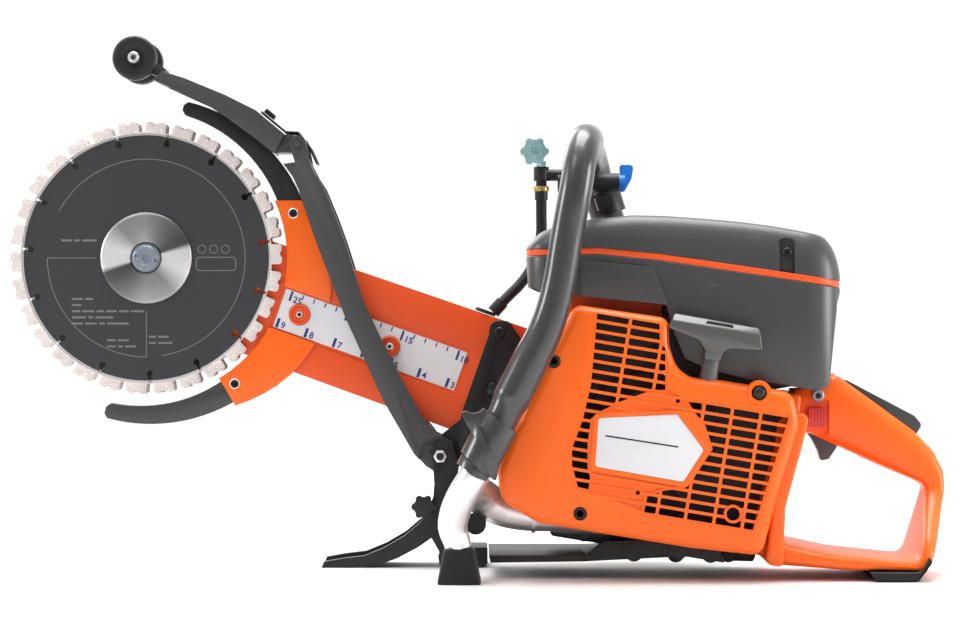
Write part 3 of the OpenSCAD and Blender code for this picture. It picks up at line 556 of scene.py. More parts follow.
flange = {"radius": 38.5, "dish": 13, "nearFace": 47.0, "farFace": 77.0}
hubFaces = ((flange["nearFace"], -1), (flange["farFace"], 1))
plates = []
for face, outward in hubFaces:
    profile = [(12.05, -2.99), (flange["radius"] - 0.6, -2.99), (flange["radius"], -2.4),
        (flange["radius"], -1.3), (flange["radius"] - 0.8, -0.5), (flange["radius"] - 2.5, -0.15),
        (flange["dish"] + 1.5, 0), (flange["dish"] + 0.6, -0.2), (flange["dish"], -1.0), (12.05, -1.1)]
    plates.append(turnedPart("flange", profile, onShaft(face), (0, outward, 0), 96))
finishPiece(joined("disc_flanges_piece", plates), "brushed_steel", "disc_shaft", ["disc_flanges"])

spindle = {"shaft": 12, "head": 10.5, "headHigh": 2.6}
shaft = turnedPart("disc_spindle_piece", [(0, 0), (spindle["shaft"], 0), (spindle["shaft"], 30), (0, 30)],
    onShaft(flange["nearFace"]))
heads = [shaft]
for face, outward in hubFaces:
    head = turnedPart("head", [(0, 0), (spindle["head"], 0), (spindle["head"], 1.8),
        (9.7, spindle["headHigh"]), (6.6, spindle["headHigh"]), (6.0, 1.9), (0, 1.9)], onShaft(face),
        (0, outward, 0), 48)
    drilled(head, 3.6, -3, 5, onShaft(face), (0, outward, 0), 6)
    for side in (-1, 1):
        drilled(head, 1.2, -3, 5, (disc["centre"][0] + 8.1 * side, face, disc["centre"][1] - 2 * side),
            (0, outward, 0), 16)
    heads.append(head)
finishPiece(joined("disc_spindle_piece", heads), "blued_steel", "disc_shaft", ["disc_spindle"])
seals = [turnedPart("seal", [(10.6, 0), (12.7, 0), (12.7, 0.9), (10.6, 0.9)],
    onShaft(face - 1.05 * outward), (0, outward, 0), 64) for face, outward in hubFaces]
finishPiece(joined("hub_seals", seals), "black_rubber", "disc_shaft")

# plain printed marks: short strokes, an empty frame and three rings
ink = {"near": 49.9, "far": 49.99, "tall": 1.7, "face": 50}


def stroke(x, z, long):
    return outlineBlock("stroke", [(x, z), (x + long, z), (x + long, z + ink["tall"]),
        (x, z + ink["tall"])], ink["near"], ink["far"])


def printedLine(x, z, words):
    for long in words:
        printed.append(stroke(x, z, long))
        x += long + 2


printed = []
for x, z, lines in ((-338, 225.5, ((9, 7), (8,), (7, 10, 6, 9, 8, 11), (12, 4, 15), (9, 10, 5, 18))),
    (-273, 193.5, ((6, 9), (6, 12))), (-308, 190.5, ((7, 9), (7, 4, 9))), (-347, 275, ((9, 5, 12),))):
    for k, words in enumerate(lines):
        printedLine(x, z - 5.2 * k, words)
frameMark = roundedBlock("mark", [(-233, 250, 3), (-199, 250, 3), (-199, 262, 3), (-233, 262, 3)], 4,
    ink["near"], ink["far"])
printed.append(cutAway(frameMark, roundedBlock("hole", [(-232.2, 250.8, 2.3), (-199.8, 250.8, 2.3),
    (-199.8, 261.2, 2.3), (-232.2, 261.2, 2.3)], 4, 49, 51)))
for x in (-228, -218, -208):
    printed.append(turnedPart("ring", [(3.0, 0), (3.7, 0), (3.7, 0.09), (3.0, 0.09)],
        (x, ink["face"] - 0.01, 268.5), (0, -1, 0), 28))
finishPiece(joined("disc_print", printed), "printed_ink", "disc_shaft")
print("discs made")

# Arm

for node in ("arm_shell_near", "arm_shell_far"):
    refined(node, "orange_paint", 1.0)
refined("wing_guard", "orange_plastic", 0.9)
refined("upper_blade_guard", "black_plastic", 1.8, 4)
refined("lower_blade_guard", "grey_plastic", 1.8, 4)
refined("scale_plate", "white_label", 0.15, 1)
refined("arm_bracket", "black_paint", 1.0)
refined("clutch_cover", "grey_plastic", 2.5, 4)

arm = {"tilt": 19.5, "nearFace": 54.5}
armTurn = math.radians(arm["tilt"])


def alongArm(u, v):
    return (disc["centre"][0] + u * math.cos(armTurn) + v * math.sin(armTurn),
        disc["centre"][1] - u * math.sin(armTurn) + v * math.cos(armTurn))


# raised bosses round the two arm screws, with a groove
bossProfile = [(3.2, -2.4), (3.2, 0.6), (4.6, 1.6), (5.6, 1.7), (6.0, 0.9), (6.6, 0.9), (7.0, 1.9),
    (8.3, 1.9), (8.9, 1.2), (8.9, -2.4)]
armScrews = [alongArm(u, -2) for u in (138, 219)]
guardScrews = [besideDisc(angle, 130) for angle in (73, 145)]
bosses = [turnedPart("boss", bossProfile, (x, arm["nearFace"] - 0.6, z), (0, -1, 0), 48)
    for x, z in armScrews]
finishPiece(joined("arm_bosses", bosses), "orange_paint")
sockets = []
for x, z in armScrews:
    sockets.append(turnedPart("socket", [(1.5, -1), (2.9, -1), (2.9, 1.6), (2.6, 2.0), (1.8, 2.0),
        (1.5, 1.6)], (x, arm["nearFace"] - 0.6, z), (0, -1, 0), 32))
for x, z in guardScrews:
    sockets.append(turnedPart("ring", [(3.5, -1), (4.4, -1), (4.4, 0.35), (4.1, 0.5), (3.5, 0.3)],
        (x, arm["nearFace"] - 2.2, z), (0, -1, 0), 40))
finishPiece(joined("screw_rings", sockets), "cast_alloy")

scale = {"first": 126, "last": 278, "cm": 10, "inch": 25.4, "top": 15.2, "bottom": -19.2}
marks = []


def scaleMark(u, v, tall, wide):
    corners = [alongArm(u - wide / 2, v), alongArm(u + wide / 2, v), alongArm(u + wide / 2, v + tall),
        alongArm(u - wide / 2, v + tall)]
    marks.append(outlineBlock("mark", corners, arm["nearFace"] + 0.08, arm["nearFace"] + 0.3))


def scaleNumber(words, u, v, size):
    x, z = alongArm(u, v)
    bpy.ops.object.text_add(location=(x * mm, (arm["nearFace"] + 0.2) * mm, z * mm),
        rotation=(math.radians(90), armTurn, 0))
    number = bpy.context.object
    number.data.body = words
    number.data.size = size * mm
    number.data.extrude = 0.12 * mm
    number.data.offset = 0.16 * mm
    selectOnly(number)
    bpy.ops.object.convert(target="MESH")
    marks.append(applyPlace(bpy.context.object))


for k in range(16):
    u = scale["first"] + scale["cm"] * k
    if u > scale["last"]:
        break
    tall = 8.5 if k % 5 == 0 else 4.0
    scaleMark(u, scale["top"] - 0.6 - tall, tall, 1.9 if k % 5 == 0 else 1.1)
    if k % 5 == 0:
        scaleNumber(str(25 - k), u + 2.6, scale["top"] - 9.2, 7.6)
for k in range(7):
    u = scale["first"] - 3 + scale["inch"] * k
    scaleMark(u, scale["bottom"] + 0.6, 8, 2.4)
    scaleNumber(str(9 - k), u + 3.0, scale["bottom"] + 1.4, 7.6)
finishPiece(joined("scale_marks", marks), "navy_ink")
print("arm made")

# Small screws, one profile for all of them

screws = []


def socketScrew(x, face, z, head, high, socket):
    screw = turnedPart("screw", [(0, -8), (head * 0.55, -8), (head * 0.55, -0.5), (head, -0.5),
        (head, high - 0.8), (head - 0.8, high), (socket + 0.5, high), (socket + 0.5, high - 0.3),
        (0, high - 0.3)], (x, face, z), (0, -1, 0), 32)
    screws.append(drilled(screw, socket, high - 2.6, high + 2, (x, face, z), (0, -1, 0), 6))


for x, z in guardScrews:
    socketScrew(x, arm["nearFace"] - 2.4, z, 3.4, 0.8, 1.9)
for x, z in armScrews:
    socketScrew(x, arm["nearFace"] + 0.4, z, 1.45, 1.2, 0.6)
for x, z in ((24, 198), (2, 126)):
    socketScrew(x, 44.5, z, 4.6, 2.4, 2.2)
for x, z in ((66, 177), (87, 56)):
    socketScrew(x, -95.7, z, 5.0, 2.6, 3.0)
socketScrew(254, -70.0, 264, 3.8, 2.0, 1.8)
finishPiece(joined("screws_piece", screws), "black_paint", "frame", ["screws"])
handleScrew = turnedPart("handle_screw", [(2.2, 0), (5.0, 0), (5.0, 2.2), (4.2, 2.8), (2.6, 2.8),
    (2.2, 2.3)], (285, -20.0, 147), (0, -1, 0), 40)
finishPiece(handleScrew, "blued_steel")
# painted shade: a black disc at the bottom of the screw's socket, for the dark inside the socket
finishPiece(turnedPart("socket_shade_disc", [(0, 0), (2.1, 0), (2.1, 1.4), (0, 1.4)], (285, -20.0, 147),
    (0, -1, 0), 6), "black_plastic")

# Covers over the air filter

cover = {"near": -73, "far": 56, "front": 46, "rear": 300, "corner": 26, "rim": 15}
stripeLine = [(46, 264), (104, 265), (153, 260), (208, 252), (300, 238)]
topLine = [(40, 270), (49, 276.5), (55, 280), (66, 284), (98, 291), (131, 294), (157, 293.4), (185, 291.5),
    (214, 289), (242, 285.5), (265, 281.5), (284, 277.5), (296, 272), (306, 262)]


def heightAt(line, x):
    for (x0, z0), (x1, z1) in zip(line, line[1:]):
        if x <= x1:
            return z0 + (z1 - z0) * (x - x0) / (x1 - x0)
    return line[-1][1]


def planOutline():
    left, right, near, far = cover["front"], cover["rear"], cover["near"], cover["far"]
    tight, wide = cover["corner"] - 4, cover["corner"] + 4
    return roundedOutline([(left, near, tight), (right, near, wide), (right, far, wide),
        (left, far, tight)], 10)


# The plan is laid out flat at unit height and its rim is rolled over with insets,
# and each point is then lifted to the side's curve
def crownedCover(name):
    plan = planOutline()
    bpy.ops.mesh.primitive_circle_add(vertices=len(plan), fill_type="NGON")
    top = bpy.context.object
    top.name = name
    for corner, (x, y) in zip(top.data.vertices, plan):
        corner.co = (x * mm, y * mm, 0)
    steps = 8
    rim = cover["rim"]

    def work():
        bpy.ops.mesh.normals_make_consistent(inside=False)
        done = 0
        for k in range(1, steps + 1):
            turn = math.pi / 2 * k / steps
            inward = rim * (1 - math.cos(turn))
            bpy.ops.mesh.inset(thickness=(inward - done) * mm)
            bpy.ops.transform.translate(value=(0, 0,
                (math.sin(turn) - math.sin(turn - math.pi / 2 / steps))))
            done = inward
        for k in range(1, 40):
            bpy.ops.mesh.select_all(action="SELECT")
            x = cover["front"] + 6.5 * k
            if x < cover["rear"] - 2:
                bpy.ops.mesh.bisect(plane_co=(x * mm, 0, 0), plane_no=(1, 0, 0))
    editing(top, work)
    for corner in top.data.vertices:
        x = corner.co.x / mm
        low = heightAt(stripeLine, x) + 2.8
        corner.co.z = (low + (heightAt(topLine, x) - low) * corner.co.z) * mm
    return top


topCover = crownedCover("filter_cover_piece")
shapeWith(topCover, "SOLIDIFY", thickness=3 * mm, offset=-1, use_even_offset=False)
slot = roundedBlock("slot", [(248, 247, 1), (260, 245, 1), (260, 274, 4), (248, 275, 4)], 4, -90, -69.5)
cutAway(topCover, slot)
finishPiece(topCover, "grey_plastic", "frame", ["filter_cover"], 40)
seat = roundedBlock("cover_screw_seat", [(247, 247, 1), (261, 245, 1), (261, 275, 5), (247, 276, 5)], 4,
    -69.6, -68)
finishPiece(softEdges(seat, 0.3, 2), "black_plastic")
refined("cover_stripe", "orange_paint", 0.6, 2)
refined("engine_cover", "grey_plastic", 1.4)
panel = roundedBlock("cover_panel", [(88, 257.5, 2), (146, 252, 3), (159, 221.4, 1), (88, 228.2, 2)], 3,
    -77.4, -70)
finishPiece(softEdges(panel, 5, 2, 60), "grey_plastic", smooth=25)
wall = outlineBlock("inner_wall", [(156, 222), (156, 172), (163, 157), (192, 154), (240, 152), (284, 160),
    (284, 212)], -52, -49)
finishPiece(softEdges(wall, 0.6, 1), "black_plastic")
# painted shade: a black plate behind the upper grille, there only to darken the inside of the housing
grilleShadePlate = outlineBlock("grille_shade_plate", [(84, 178), (88, 217), (153, 206), (154, 190), (161, 168),
    (140, 169.5)], -60, -57.6)
finishPiece(softEdges(grilleShadePlate, 0.6, 1), "black_plastic")
shroud = {
    "outer": [(60, 178), (155, 178), (155, 236), (60, 240)],
    "inner": [(63, 170), (152, 170), (152, 233), (63, 237)]}
cowl = outlineBlock("cylinder_shroud_piece", shroud["outer"], -53.5, 48.5)
cutAway(cowl, outlineBlock("inner", shroud["inner"], -50.5, 45.5))
finishPiece(softEdges(cowl, 1.5, 3), "orange_paint", "frame", ["cylinder_shroud"])
print("covers made")

# Starter side

engineTurn = math.radians(9.5)
crankCentre = alongArm(443, 0)


def onEngine(u, v):
    return (crankCentre[0] + u * math.cos(engineTurn) + v * math.sin(engineTurn),
        crankCentre[1] - u * math.sin(engineTurn) + v * math.cos(engineTurn))


housing = {
    "near": -98, "far": -58, "wall": 3, "round": 8,
    "corners": [(83, 222, 10), (158, 211, 9), (158, 190, 26), (166, 164, 24), (197, 162, 60),
        (256, 152, 12), (262, 128, 30), (246, 76, 60), (232, 22, 10), (176, 28, 60), (54, 48, 26),
        (24, 66, 20), (21, 92, 28), (34, 122, 30), (62, 180, 40)]}
grille = {
    "pitch": 7.93, "bar": 2.4,
    "through": (-102, -90),
    "recess": 0.8, "reach": 110,
    "left": {"first": 99.5, "rows": 20, "dividers": (-31.2, -4.2),
        "outline": [(100.5, 215), (150, 206.6), (150.5, 191.3), (154.7, 187.5), (154.7, 154.2),
        (144.3, 154.2), (118.6, 144.7), (102.4, 136.8), (95.7, 131.5), (93, 111.3), (93, 92.3), (95, 84.7),
        (93.8, 75.2), (85.2, 77.1), (80.5, 94.2), (80.5, 107.5), (89, 130.4), (95.7, 158.9)]},
    "right": {"first": 34, "rows": 12, "dividers": (14.8, 37.6, 60.4, 83.2),
        "outline": [(172.8, 144.7), (185.2, 143.7), (252.8, 132.3), (224.2, 42.8), (137.6, 57.1),
        (140.4, 69.5), (152.8, 74.2), (170, 76.1), (177.6, 84.7), (192.3, 107.5), (186.1, 126.6),
        (179.5, 134.2)]}}
lands = [[(97, 137), (118, 147), (143, 156), (156, 156), (171, 146), (178, 136), (166, 138)],
    [(97, 89), (166, 77.5), (151, 75.5), (138, 70.5), (135, 58.5), (88, 77), (95, 76)]]
badge = [(101.4, 132.3), (164.2, 135.1), (185.6, 106.6), (169, 80.9), (98.6, 93.3)]
ports = [(208.4, 55.6, 5.3), (164.6, 145.4, 1.7), (132.8, 72.5, 1.7)]


def slotBlocks(part, inside, near, far):
    edges = [-grille["reach"], *part["dividers"], grille["reach"]]
    half = grille["bar"] / 2
    low, high = min(x for x, z in inside), max(x for x, z in inside)
    floor, roof = min(z for x, z in inside), max(z for x, z in inside)
    blocks = []
    for row in range(part["rows"]):
        v = part["first"] - grille["pitch"] * row
        for u0, u1 in zip(edges, edges[1:]):
            corners = [(u0 + half, v - grille["pitch"] / 2 + half),
                (u1 - half, v - grille["pitch"] / 2 + half), (u1 - half, v + grille["pitch"] / 2 - half),
                (u0 + half, v + grille["pitch"] / 2 - half)]
            outline = [(*onEngine(*corner), 0.9) for corner in corners]
            middle = onEngine((u0 + u1) / 2, v)[1]
            if outline[0][0] < high and outline[1][0] > low and floor - 20 < middle < roof + 20:
                blocks.append(roundedBlock("slot", outline, 2, near, far))
    cutter = joined("slots", blocks)
    return combine(cutter, "INTERSECT", outlineBlock("region", inside, near - 1, far + 1))


body = roundedBlock("starter_housing_piece", housing["corners"], 7, housing["near"], housing["far"])
softEdges(body, housing["round"], 5, 50)
hollow = [(x, z, max(r - 3, 2)) for x, z, r in housing["corners"]]
centre = Vector((140, 120))
hollow = [(centre.x + (x - centre.x) * 0.955, centre.y + (z - centre.y) * 0.955, r) for x, z, r in hollow]
cutAway(body, roundedBlock("hollow", hollow, 7, housing["near"] + housing["wall"], housing["far"] + 5))
for part in (grille["left"], grille["right"]):
    cutAway(body, outlineBlock("recess", grown(part["outline"], 1.8), -100,
        housing["near"] + grille["recess"]))
    cutter = slotBlocks(part, part["outline"], *grille["through"])
    if part is grille["right"]:
        drilled(cutter, 7.4, 0, 20, (ports[0][0], -106, ports[0][1]))
    cutAway(body, cutter)
grooves = {
    **grille["right"],
    "first": grille["right"]["first"] + grille["pitch"],
    "rows": 13,
    "dividers": (-200,)}
for land in lands:
    cutAway(body, slotBlocks(grooves, land, -100, housing["near"] + 1.4))
for x, z, r in ports:
    drilled(body, r, 0, 20, (x, -106, z))
for x, z in ((66, 177), (87, 56)):
    drilled(body, 5.6, 0, 6, (x, -101.7, z))
drilled(body, 6.2, 0, 12, (229, -100, 152))
finishPiece(body, "orange_plastic", "frame", ["starter_housing"], 40)

# what the housing holds in front of the fan: rope collar, bulb ring, port ring
x, z = onEngine(38, 46)
collar = turnedPart("rope_collar", [(2.6, -3), (9.0, -3), (10.6, 0), (10.8, 2.2), (10.2, 3.4), (8.8, 3.7),
    (7.6, 3.2), (7.1, 1.5), (2.6, 0.6)], (x, -87, z), (math.sin(engineTurn), 0, math.cos(engineTurn)), 48)
finishPiece(collar, "orange_plastic")
rings = [turnedPart("bulb_ring", [(6.0, -6), (9.8, -6), (9.8, 1.0), (9.0, 2.2), (7.2, 2.2), (6.0, 1.2)],
    (229, -97, 152), (0, -1, 0), 40), turnedPart("port_ring", [(5.3, -3), (7.2, -3), (7.2, 0.4), (6.8, 0.9),
    (5.8, 0.9), (5.3, 0.4)], (ports[0][0], -98, ports[0][1]), (0, -1, 0), 40)]
finishPiece(joined("housing_rings", rings), "orange_plastic")

border = [(97.4, 135.2), (166.6, 138.2), (191.4, 107.2), (171.4, 76.4), (94.6, 90.4)]
rim = roundedBlock("badge_border", [(x, z, 4) for x, z in border], 4, -99.2, -97)
cutAway(rim, roundedBlock("inner", [(x, z, 3) for x, z in badge], 4, -101, -95))
finishPiece(softEdges(rim, 0.7, 3), "orange_plastic")
plate = roundedBlock("starter_badge_piece", [(x, z, 2.8) for x, z in grown(badge, -0.25)], 4, -98.7, -97.3)
finishPiece(softEdges(plate, 0.25, 2), "white_label", "frame", ["starter_badge"])
rule = outlineBlock("badge_rule", [(107, 118.6), (165, 109.6), (164.8, 108.4), (106.8, 117.4)], -98.82,
    -98.6)
finishPiece(rule, "black_plastic")

tee = {"near": -97, "far": -77, "u": 38, "chamfer": 5.6}
barOutline = [(*onEngine(tee["u"] + u, v), r) for u, v, r in ((-35.6, 104.2, 2.5), (-38, 91.6, 1.5),
    (-12.5, 86, 9), (-7.0, 79, 3), (-6.4, 72, 0), (6.4, 72, 0), (7.2, 79, 4), (12.5, 83.5, 6),
    (38, 86.2, 1.5), (33.4, 103.2, 2.5))]
grip = roundedBlock("starter_grip_piece", barOutline, 5, tee["near"], tee["far"])
upright = Vector((math.sin(engineTurn), 0, math.cos(engineTurn)))
for face, side in ((tee["near"], -1), (tee["far"], 1)):
    x, z = onEngine(tee["u"], 103.6 - tee["chamfer"])

    def chamfer():
        bpy.ops.mesh.bisect(plane_co=(x * mm, face * mm, z * mm), plane_no=upright + Vector((0, side, 0)),
            use_fill=True, clear_outer=True)
    editing(grip, chamfer)
softEdges(grip, 1.3, 3, 30)
x, z = onEngine(tee["u"], 47.6)
stem = turnedPart("stem", [(0, 0), (6.2, 0), (7.0, 0.8), (7.1, 8), (7.0, 20), (7.2, 33), (0, 35)],
    (x, -87, z), upright, 48)
combine(grip, "UNION", stem)
window = roundedBlock("window", [(*onEngine(tee["u"] - 10, 98.6), 1), (*onEngine(tee["u"] + 13, 98.6), 1),
    (*onEngine(tee["u"] + 12, 102.4), 1), (*onEngine(tee["u"] - 9, 102.4), 1)], 3, -95.2, -91.5)
cutAway(grip, window)
# the grip's lighter finish carries painted sheen
finishPiece(grip, "pull_plastic_painted_sheen", "pull_grip", ["starter_grip"], 35)

knots = [onEngine(tee["u"], v) for v in (12, 36, 60)]
rope = tubeThrough("starter_rope_piece", [(x, -87, z) for x, z in knots], 1.8, 4, 12)
applyPlace(rope)
bpy.ops.object.shade_smooth()
rope.data.materials.append(finishes["rope_fibre"])
collarTop, gripFoot = onEngine(tee["u"], 52), onEngine(tee["u"], 57)
collarTop[0] * mm
collarTop[1] * mm
gripFoot[0] * mm
gripFoot[1] * mm
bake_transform(rope)
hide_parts("starter_rope")
print("starter made")

# Handles, leg and feet

handle = {"near": -112, "far": 112}
handlePath = [(8, handle["near"], 98, 13), (27.5, handle["near"], 137.5, 13),
    (30, handle["near"], 142.6, 13.6), (33, handle["near"], 148.6, 15), (47, handle["near"], 177, 14.8),
    (60, handle["near"], 204, 13.6), (68, handle["near"], 230, 13), (76, handle["near"], 275, 13),
    (84, handle["near"], 320, 13), (87, -106, 338, 13), (90, -92, 350, 13), (93, -70, 354, 13),
    (97, 0, 354, 13), (100, 66, 354, 13), (103, 90, 350, 13), (107, 106, 339, 13),
    (112, handle["far"], 320, 13), (122, handle["far"], 290, 13), (137, handle["far"], 246, 13),
    (152, handle["far"], 212, 13), (174, 111, 187, 13), (202, 106, 167, 13), (224, 94, 150, 13),
    (235, 74, 140, 13), (238, 56, 137, 13), (238, 42, 137, 13)]
tube = tubeThrough("front_handle_piece", [p[:3] for p in handlePath], [p[3] for p in handlePath], 8, 10)
finishPiece(tube, "grip_rubber", "frame", ["front_handle"], 50)

legPath = [(7.1, handle["near"], 96.3, 12), (2.3, handle["near"], 86.5, 12), (-7, -105, 70, 12.2),
    (-13, -96, 54, 12.2), (-14, -92, 44, 11.8), (-11, -90, 34, 11), (-9, -90, 27.5, 10.6)]
leg = tubeThrough("front_leg_piece", [p[:3] for p in legPath], [p[3] for p in legPath], 8, 8)
finishPiece(leg, "cast_alloy", "frame", ["front_leg"], 50)
refined("front_foot", "black_rubber", 2.5, 4, angle=30)
tubePath = [(-3, -94, 72, 9.5), (-3, -84, 73, 11.5), (0, -70, 72.5, 13.5), (8, -54, 67, 15),
    (20, -45, 58.5, 15), (38, -41, 52.5, 14), (64, -40, 50, 13), (136, -40, 46, 13)]
frameTube = tubeThrough("frame_tube_piece", [p[:3] for p in tubePath], [p[3] for p in tubePath], 8, 8)
endClamp = turnedPart("end_clamp", [(13.3, 0), (19, 0), (20, 1), (20, 5.5), (19, 6.7), (14, 6.7),
    (13.3, 6)], (238, 40.3, 137), (0, 1, 0), 48)
band = turnedPart("band", [(13.0, 0), (14.8, 0), (14.8, 3), (13.0, 3)], (50, -40.8, 50.8), (26, 1, -1.6),
    40)
finishPiece(joined("frame_tube_piece", [frameTube, endClamp, band]), "cast_alloy", "frame", ["frame_tube"],
    50)
# the sleeve clamp: a turned sleeve cut to its skewed silhouette, a lower lip,
# and a fin that sweeps across it
sleeve = {
    "middle": (27.5, handle["near"], 137.5),
    "axis": (39, 0, 79),
    "radius": 17.6, "bore": 13.25,
    "body": [(-8, 106.6, 0), (-7.6, 109, 0), (-3, 122.8, 0), (0.5, 132, 8), (5.5, 138, 3), (10.3, 140.6, 1),
        (36.3, 121, 2), (36.3, 118.6, 4), (22.4, 95.1, 20), (20.6, 84.2, 2), (14.5, 86.8, 0)],
    "lip": [(-8.4, 106.2, 0), (14.3, 86.2, 0), (12.7, 83.4, 1), (1.8, 87.2, 20), (-5.3, 93.6, 0),
        (-11.1, 97.3, 1)],
    "fin": [(-7.8, 137.3, 0.8), (-2.4, 126.4, 20), (4.3, 118, 30), (9.1, 107.1, 30), (12.1, 93.2, 20),
        (17.5, 84.6, 1), (20.6, 84.2, 1), (21.1, 94.4, 12), (18.1, 103.5, 30), (11.5, 116.8, 30),
        (4.3, 128.9, 20), (-3.5, 138.5, 2)]}
shells = []
web = roundedBlock("web", [(-7.4, 137.2, 1), (-3.5, 138.3, 2), (1, 136.6, 6), (6, 137, 4), (10.6, 140.4, 1),
    (22, 128, 0), (8, 112, 0), (-2.2, 126.6, 20)], 4, -124, -104)
drilled(web, 15.4, -75, 30, sleeve["middle"], sleeve["axis"], 48)
shells.append(softEdges(web, 1.4, 3, 50))
for name, radius, near, far in (("body", sleeve["radius"], -140, -90), ("lip", 16.4, -140, -90),
    ("fin", 21.0, -140, -112)):
    shell = turnedPart("handle_clamp_piece", [(sleeve["bore"], -75), (radius, -75), (radius, 30),
        (sleeve["bore"], 30)], sleeve["middle"], sleeve["axis"], 72)
    combine(shell, "INTERSECT", roundedBlock("silhouette", sleeve[name], 4, near, far))
    shells.append(softEdges(shell, {"body": 0.7, "lip": 0.6, "fin": 1.5}[name], 3, 50))
finishPiece(joined("handle_clamp_piece", shells), "grip_rubber", "frame", ["handle_clamp"], 40)

loop = {
    "centre": (312, 68),
    "high": (75, -20, 16),
    "low": (18, -80, 32),
    "squareness": 0.6,
    "outer": [(264, 155, 10), (300, 166, 8), (366, 118, 14), (382, 101, 14), (390.6, 84, 16),
        (390.8, 68, 30), (382, 41, 60), (370, 6.5, 12), (308, 6.8, 60), (236, 12, 8), (240, 60, 40)],
    "inner": [(274, 118, 6), (262, 84, 60), (248, 33, 10), (296, 22.5, 60), (358, 15.5, 9), (366.6, 46, 60),
        (374, 73, 6), (336, 89.2, 60), (301.5, 104.6, 10)],
    "side": [(236, 14, 5), (250, 12, 3), (252, 60, 30), (264, 104, 10), (273, 140, 6), (248, 128, 8)],
    "tank": [(206, 30, 8), (240, 16, 5), (262, 100, 10), (268, 150, 5), (240, 150, 8), (218, 100, 20)]}


def reaches(outline, turns):
    centre = Vector(loop["centre"])
    found = []
    for turn in turns:
        aim = centre + Vector((math.sin(turn), math.cos(turn))) * 300
        hits = [geometry.intersect_line_line_2d(centre, aim, Vector(a), Vector(b))
            for a, b in zip(outline, outline[1:] + outline[:1])]
        found.append(max((hit for hit in hits if hit), key=lambda hit: (hit - centre).length))
    return found


def eased(value, power):
    return math.copysign(abs(value) ** power, value)


# The loop is a ring with a rounded section that widens across the saw towards its foot
rings, spots = 144, 28
bpy.ops.mesh.primitive_torus_add(major_segments=rings, minor_segments=spots)
rear = bpy.context.object
rear.name = "rear_handle_piece"
turns = [2 * math.pi * k / rings for k in range(rings)]
outside, inside = (reaches(roundedOutline(loop[name], 7), turns) for name in ("outer", "inner"))
for k, (outer, inner) in enumerate(zip(outside, inside)):
    middle, half = (outer + inner) / 2, (outer - inner) / 2
    part = min(1, max(0, (middle.y - loop["low"][0]) / (loop["high"][0] - loop["low"][0])))
    part = part * part * (3 - 2 * part)
    near = loop["low"][1] + (loop["high"][1] - loop["low"][1]) * part
    far = loop["low"][2] + (loop["high"][2] - loop["low"][2]) * part
    for spot in range(spots):
        turn = 2 * math.pi * spot / spots
        place = middle + half * eased(math.cos(turn), loop["squareness"])
        y = (near + far) / 2 + (far - near) / 2 * eased(math.sin(turn), loop["squareness"])
        rear.data.vertices[k * spots + spot].co = (place.x * mm, y * mm, place.y * mm)
cleaned(rear)
for corners in ([(268, 150), (312, 150), (322, 92), (266, 102)],
    [(300, 170), (384, 126), (374, 90), (300, 136)]):
    cutAway(rear, outlineBlock("slot", corners, -11, 7))
cutAway(rear, roundedBlock("switch_seat", [(273.6, 143.5, 2), (294.4, 143.5, 2), (294.4, 114.5, 2),
    (273.6, 114.5, 2)], 3, -28, -15.6))
coverCorner = [(230, 152.4), (290.8, 152.6), (291, 180), (230, 180)]
cutAway(rear, outlineBlock("cover_corner", coverCorner, -90, 70))
shells = [rear]
for name, near, far, edge in (("side", -84, 40, 3), ("tank", -56, 40, 3)):
    shell = softEdges(roundedBlock(name, loop[name], 5, near, far), edge, 4, 50)
    drilled(shell, 16, 0, 30, (220, 32, 62), (0, 1, 0), 40)
    if name == "side":
        cutAway(shell, roundedBlock("housing_side", housing["corners"], 7, -99, -57.7))
    shells.append(shell)
rear = joined("rear_handle_piece", shells)
finishPiece(rear, "orange_plastic", "frame", ["rear_handle"], 40)
pad = outlineBlock("rear_foot_piece", [(319, 8), (325, 0.3), (358, 0.3), (369.5, 16), (367, 20),
    (363, 10.5), (357, 8)], -86, 36)
finishPiece(softEdges(pad, 1.8, 3), "black_rubber", "frame", ["rear_foot"])
lower = outlineBlock("lower_bracket", [(60, 50), (236, 24), (232, 11), (196, 12), (160, 19), (110, 25),
    (66, 32)], -26, 40)
finishPiece(softEdges(lower, 2, 3), "black_plastic")
bolts = []
for x, z in ((93, 35), (131, 22), (168, 18), (211, 18)):
    bolts.append(turnedPart("bolt", [(0, -3), (7.5, -3), (7.5, 1), (6.8, 1.8), (5.2, 1.8), (5.2, 5),
        (4.5, 5.8), (2.4, 5.8), (2.4, 3), (0, 3)], (x, -26, z), (0, -1, 0), 32))
finishPiece(joined("lower_bolts", bolts), "black_paint")
bush = turnedPart("leg_bush", [(0, 0), (6.5, 0), (8.5, 1.5), (8.5, 4), (6.5, 5.5), (6.5, 8), (8.5, 9.5),
    (8.5, 14), (0, 14)], (4, -52, 45), (0, -1, 0), 40)
finishPiece(bush, "black_rubber")
print("handles made")

# The rest keeps the frame's shapes, with broken edges

plain = {
    "stand_shoe": ("black_plastic", "frame", 1.2),
    "guard_pivot_bolt": ("cast_alloy", "frame", 0.6),
    "shoe_knob": ("black_plastic", "shoe_clamp", 0.8),
    "guide_bar_lower": ("grey_plastic", "guide_lower", 1.2),
    "guide_bar_upper": ("grey_plastic", "guide_upper", 1.2),
    "tap_body": ("black_plastic", "frame", 0.8),
    "hose_fittings": ("black_plastic", "frame", 0.6),
    "water_connector": ("clear_teal", "frame", 0.9),
    "tap_knob": ("blue_plastic", "tap_lever", 1.2),
    "throttle_trigger": ("grey_plastic", "trigger", 1.6),
    "throttle_lockout": ("grey_plastic", "lockout", 1.6),
    "stop_switch": ("red_plastic", "stop_slider", 0.3),
    "fuel_cap": ("black_plastic", "tank_cap", 1.2),
    "belly_pan": ("black_plastic", "frame", 1.0),
    "muffler": ("black_paint", "frame", 2.0)}
for node, (finish, rides, edge) in plain.items():
    refined(node, finish, edge, body=rides)

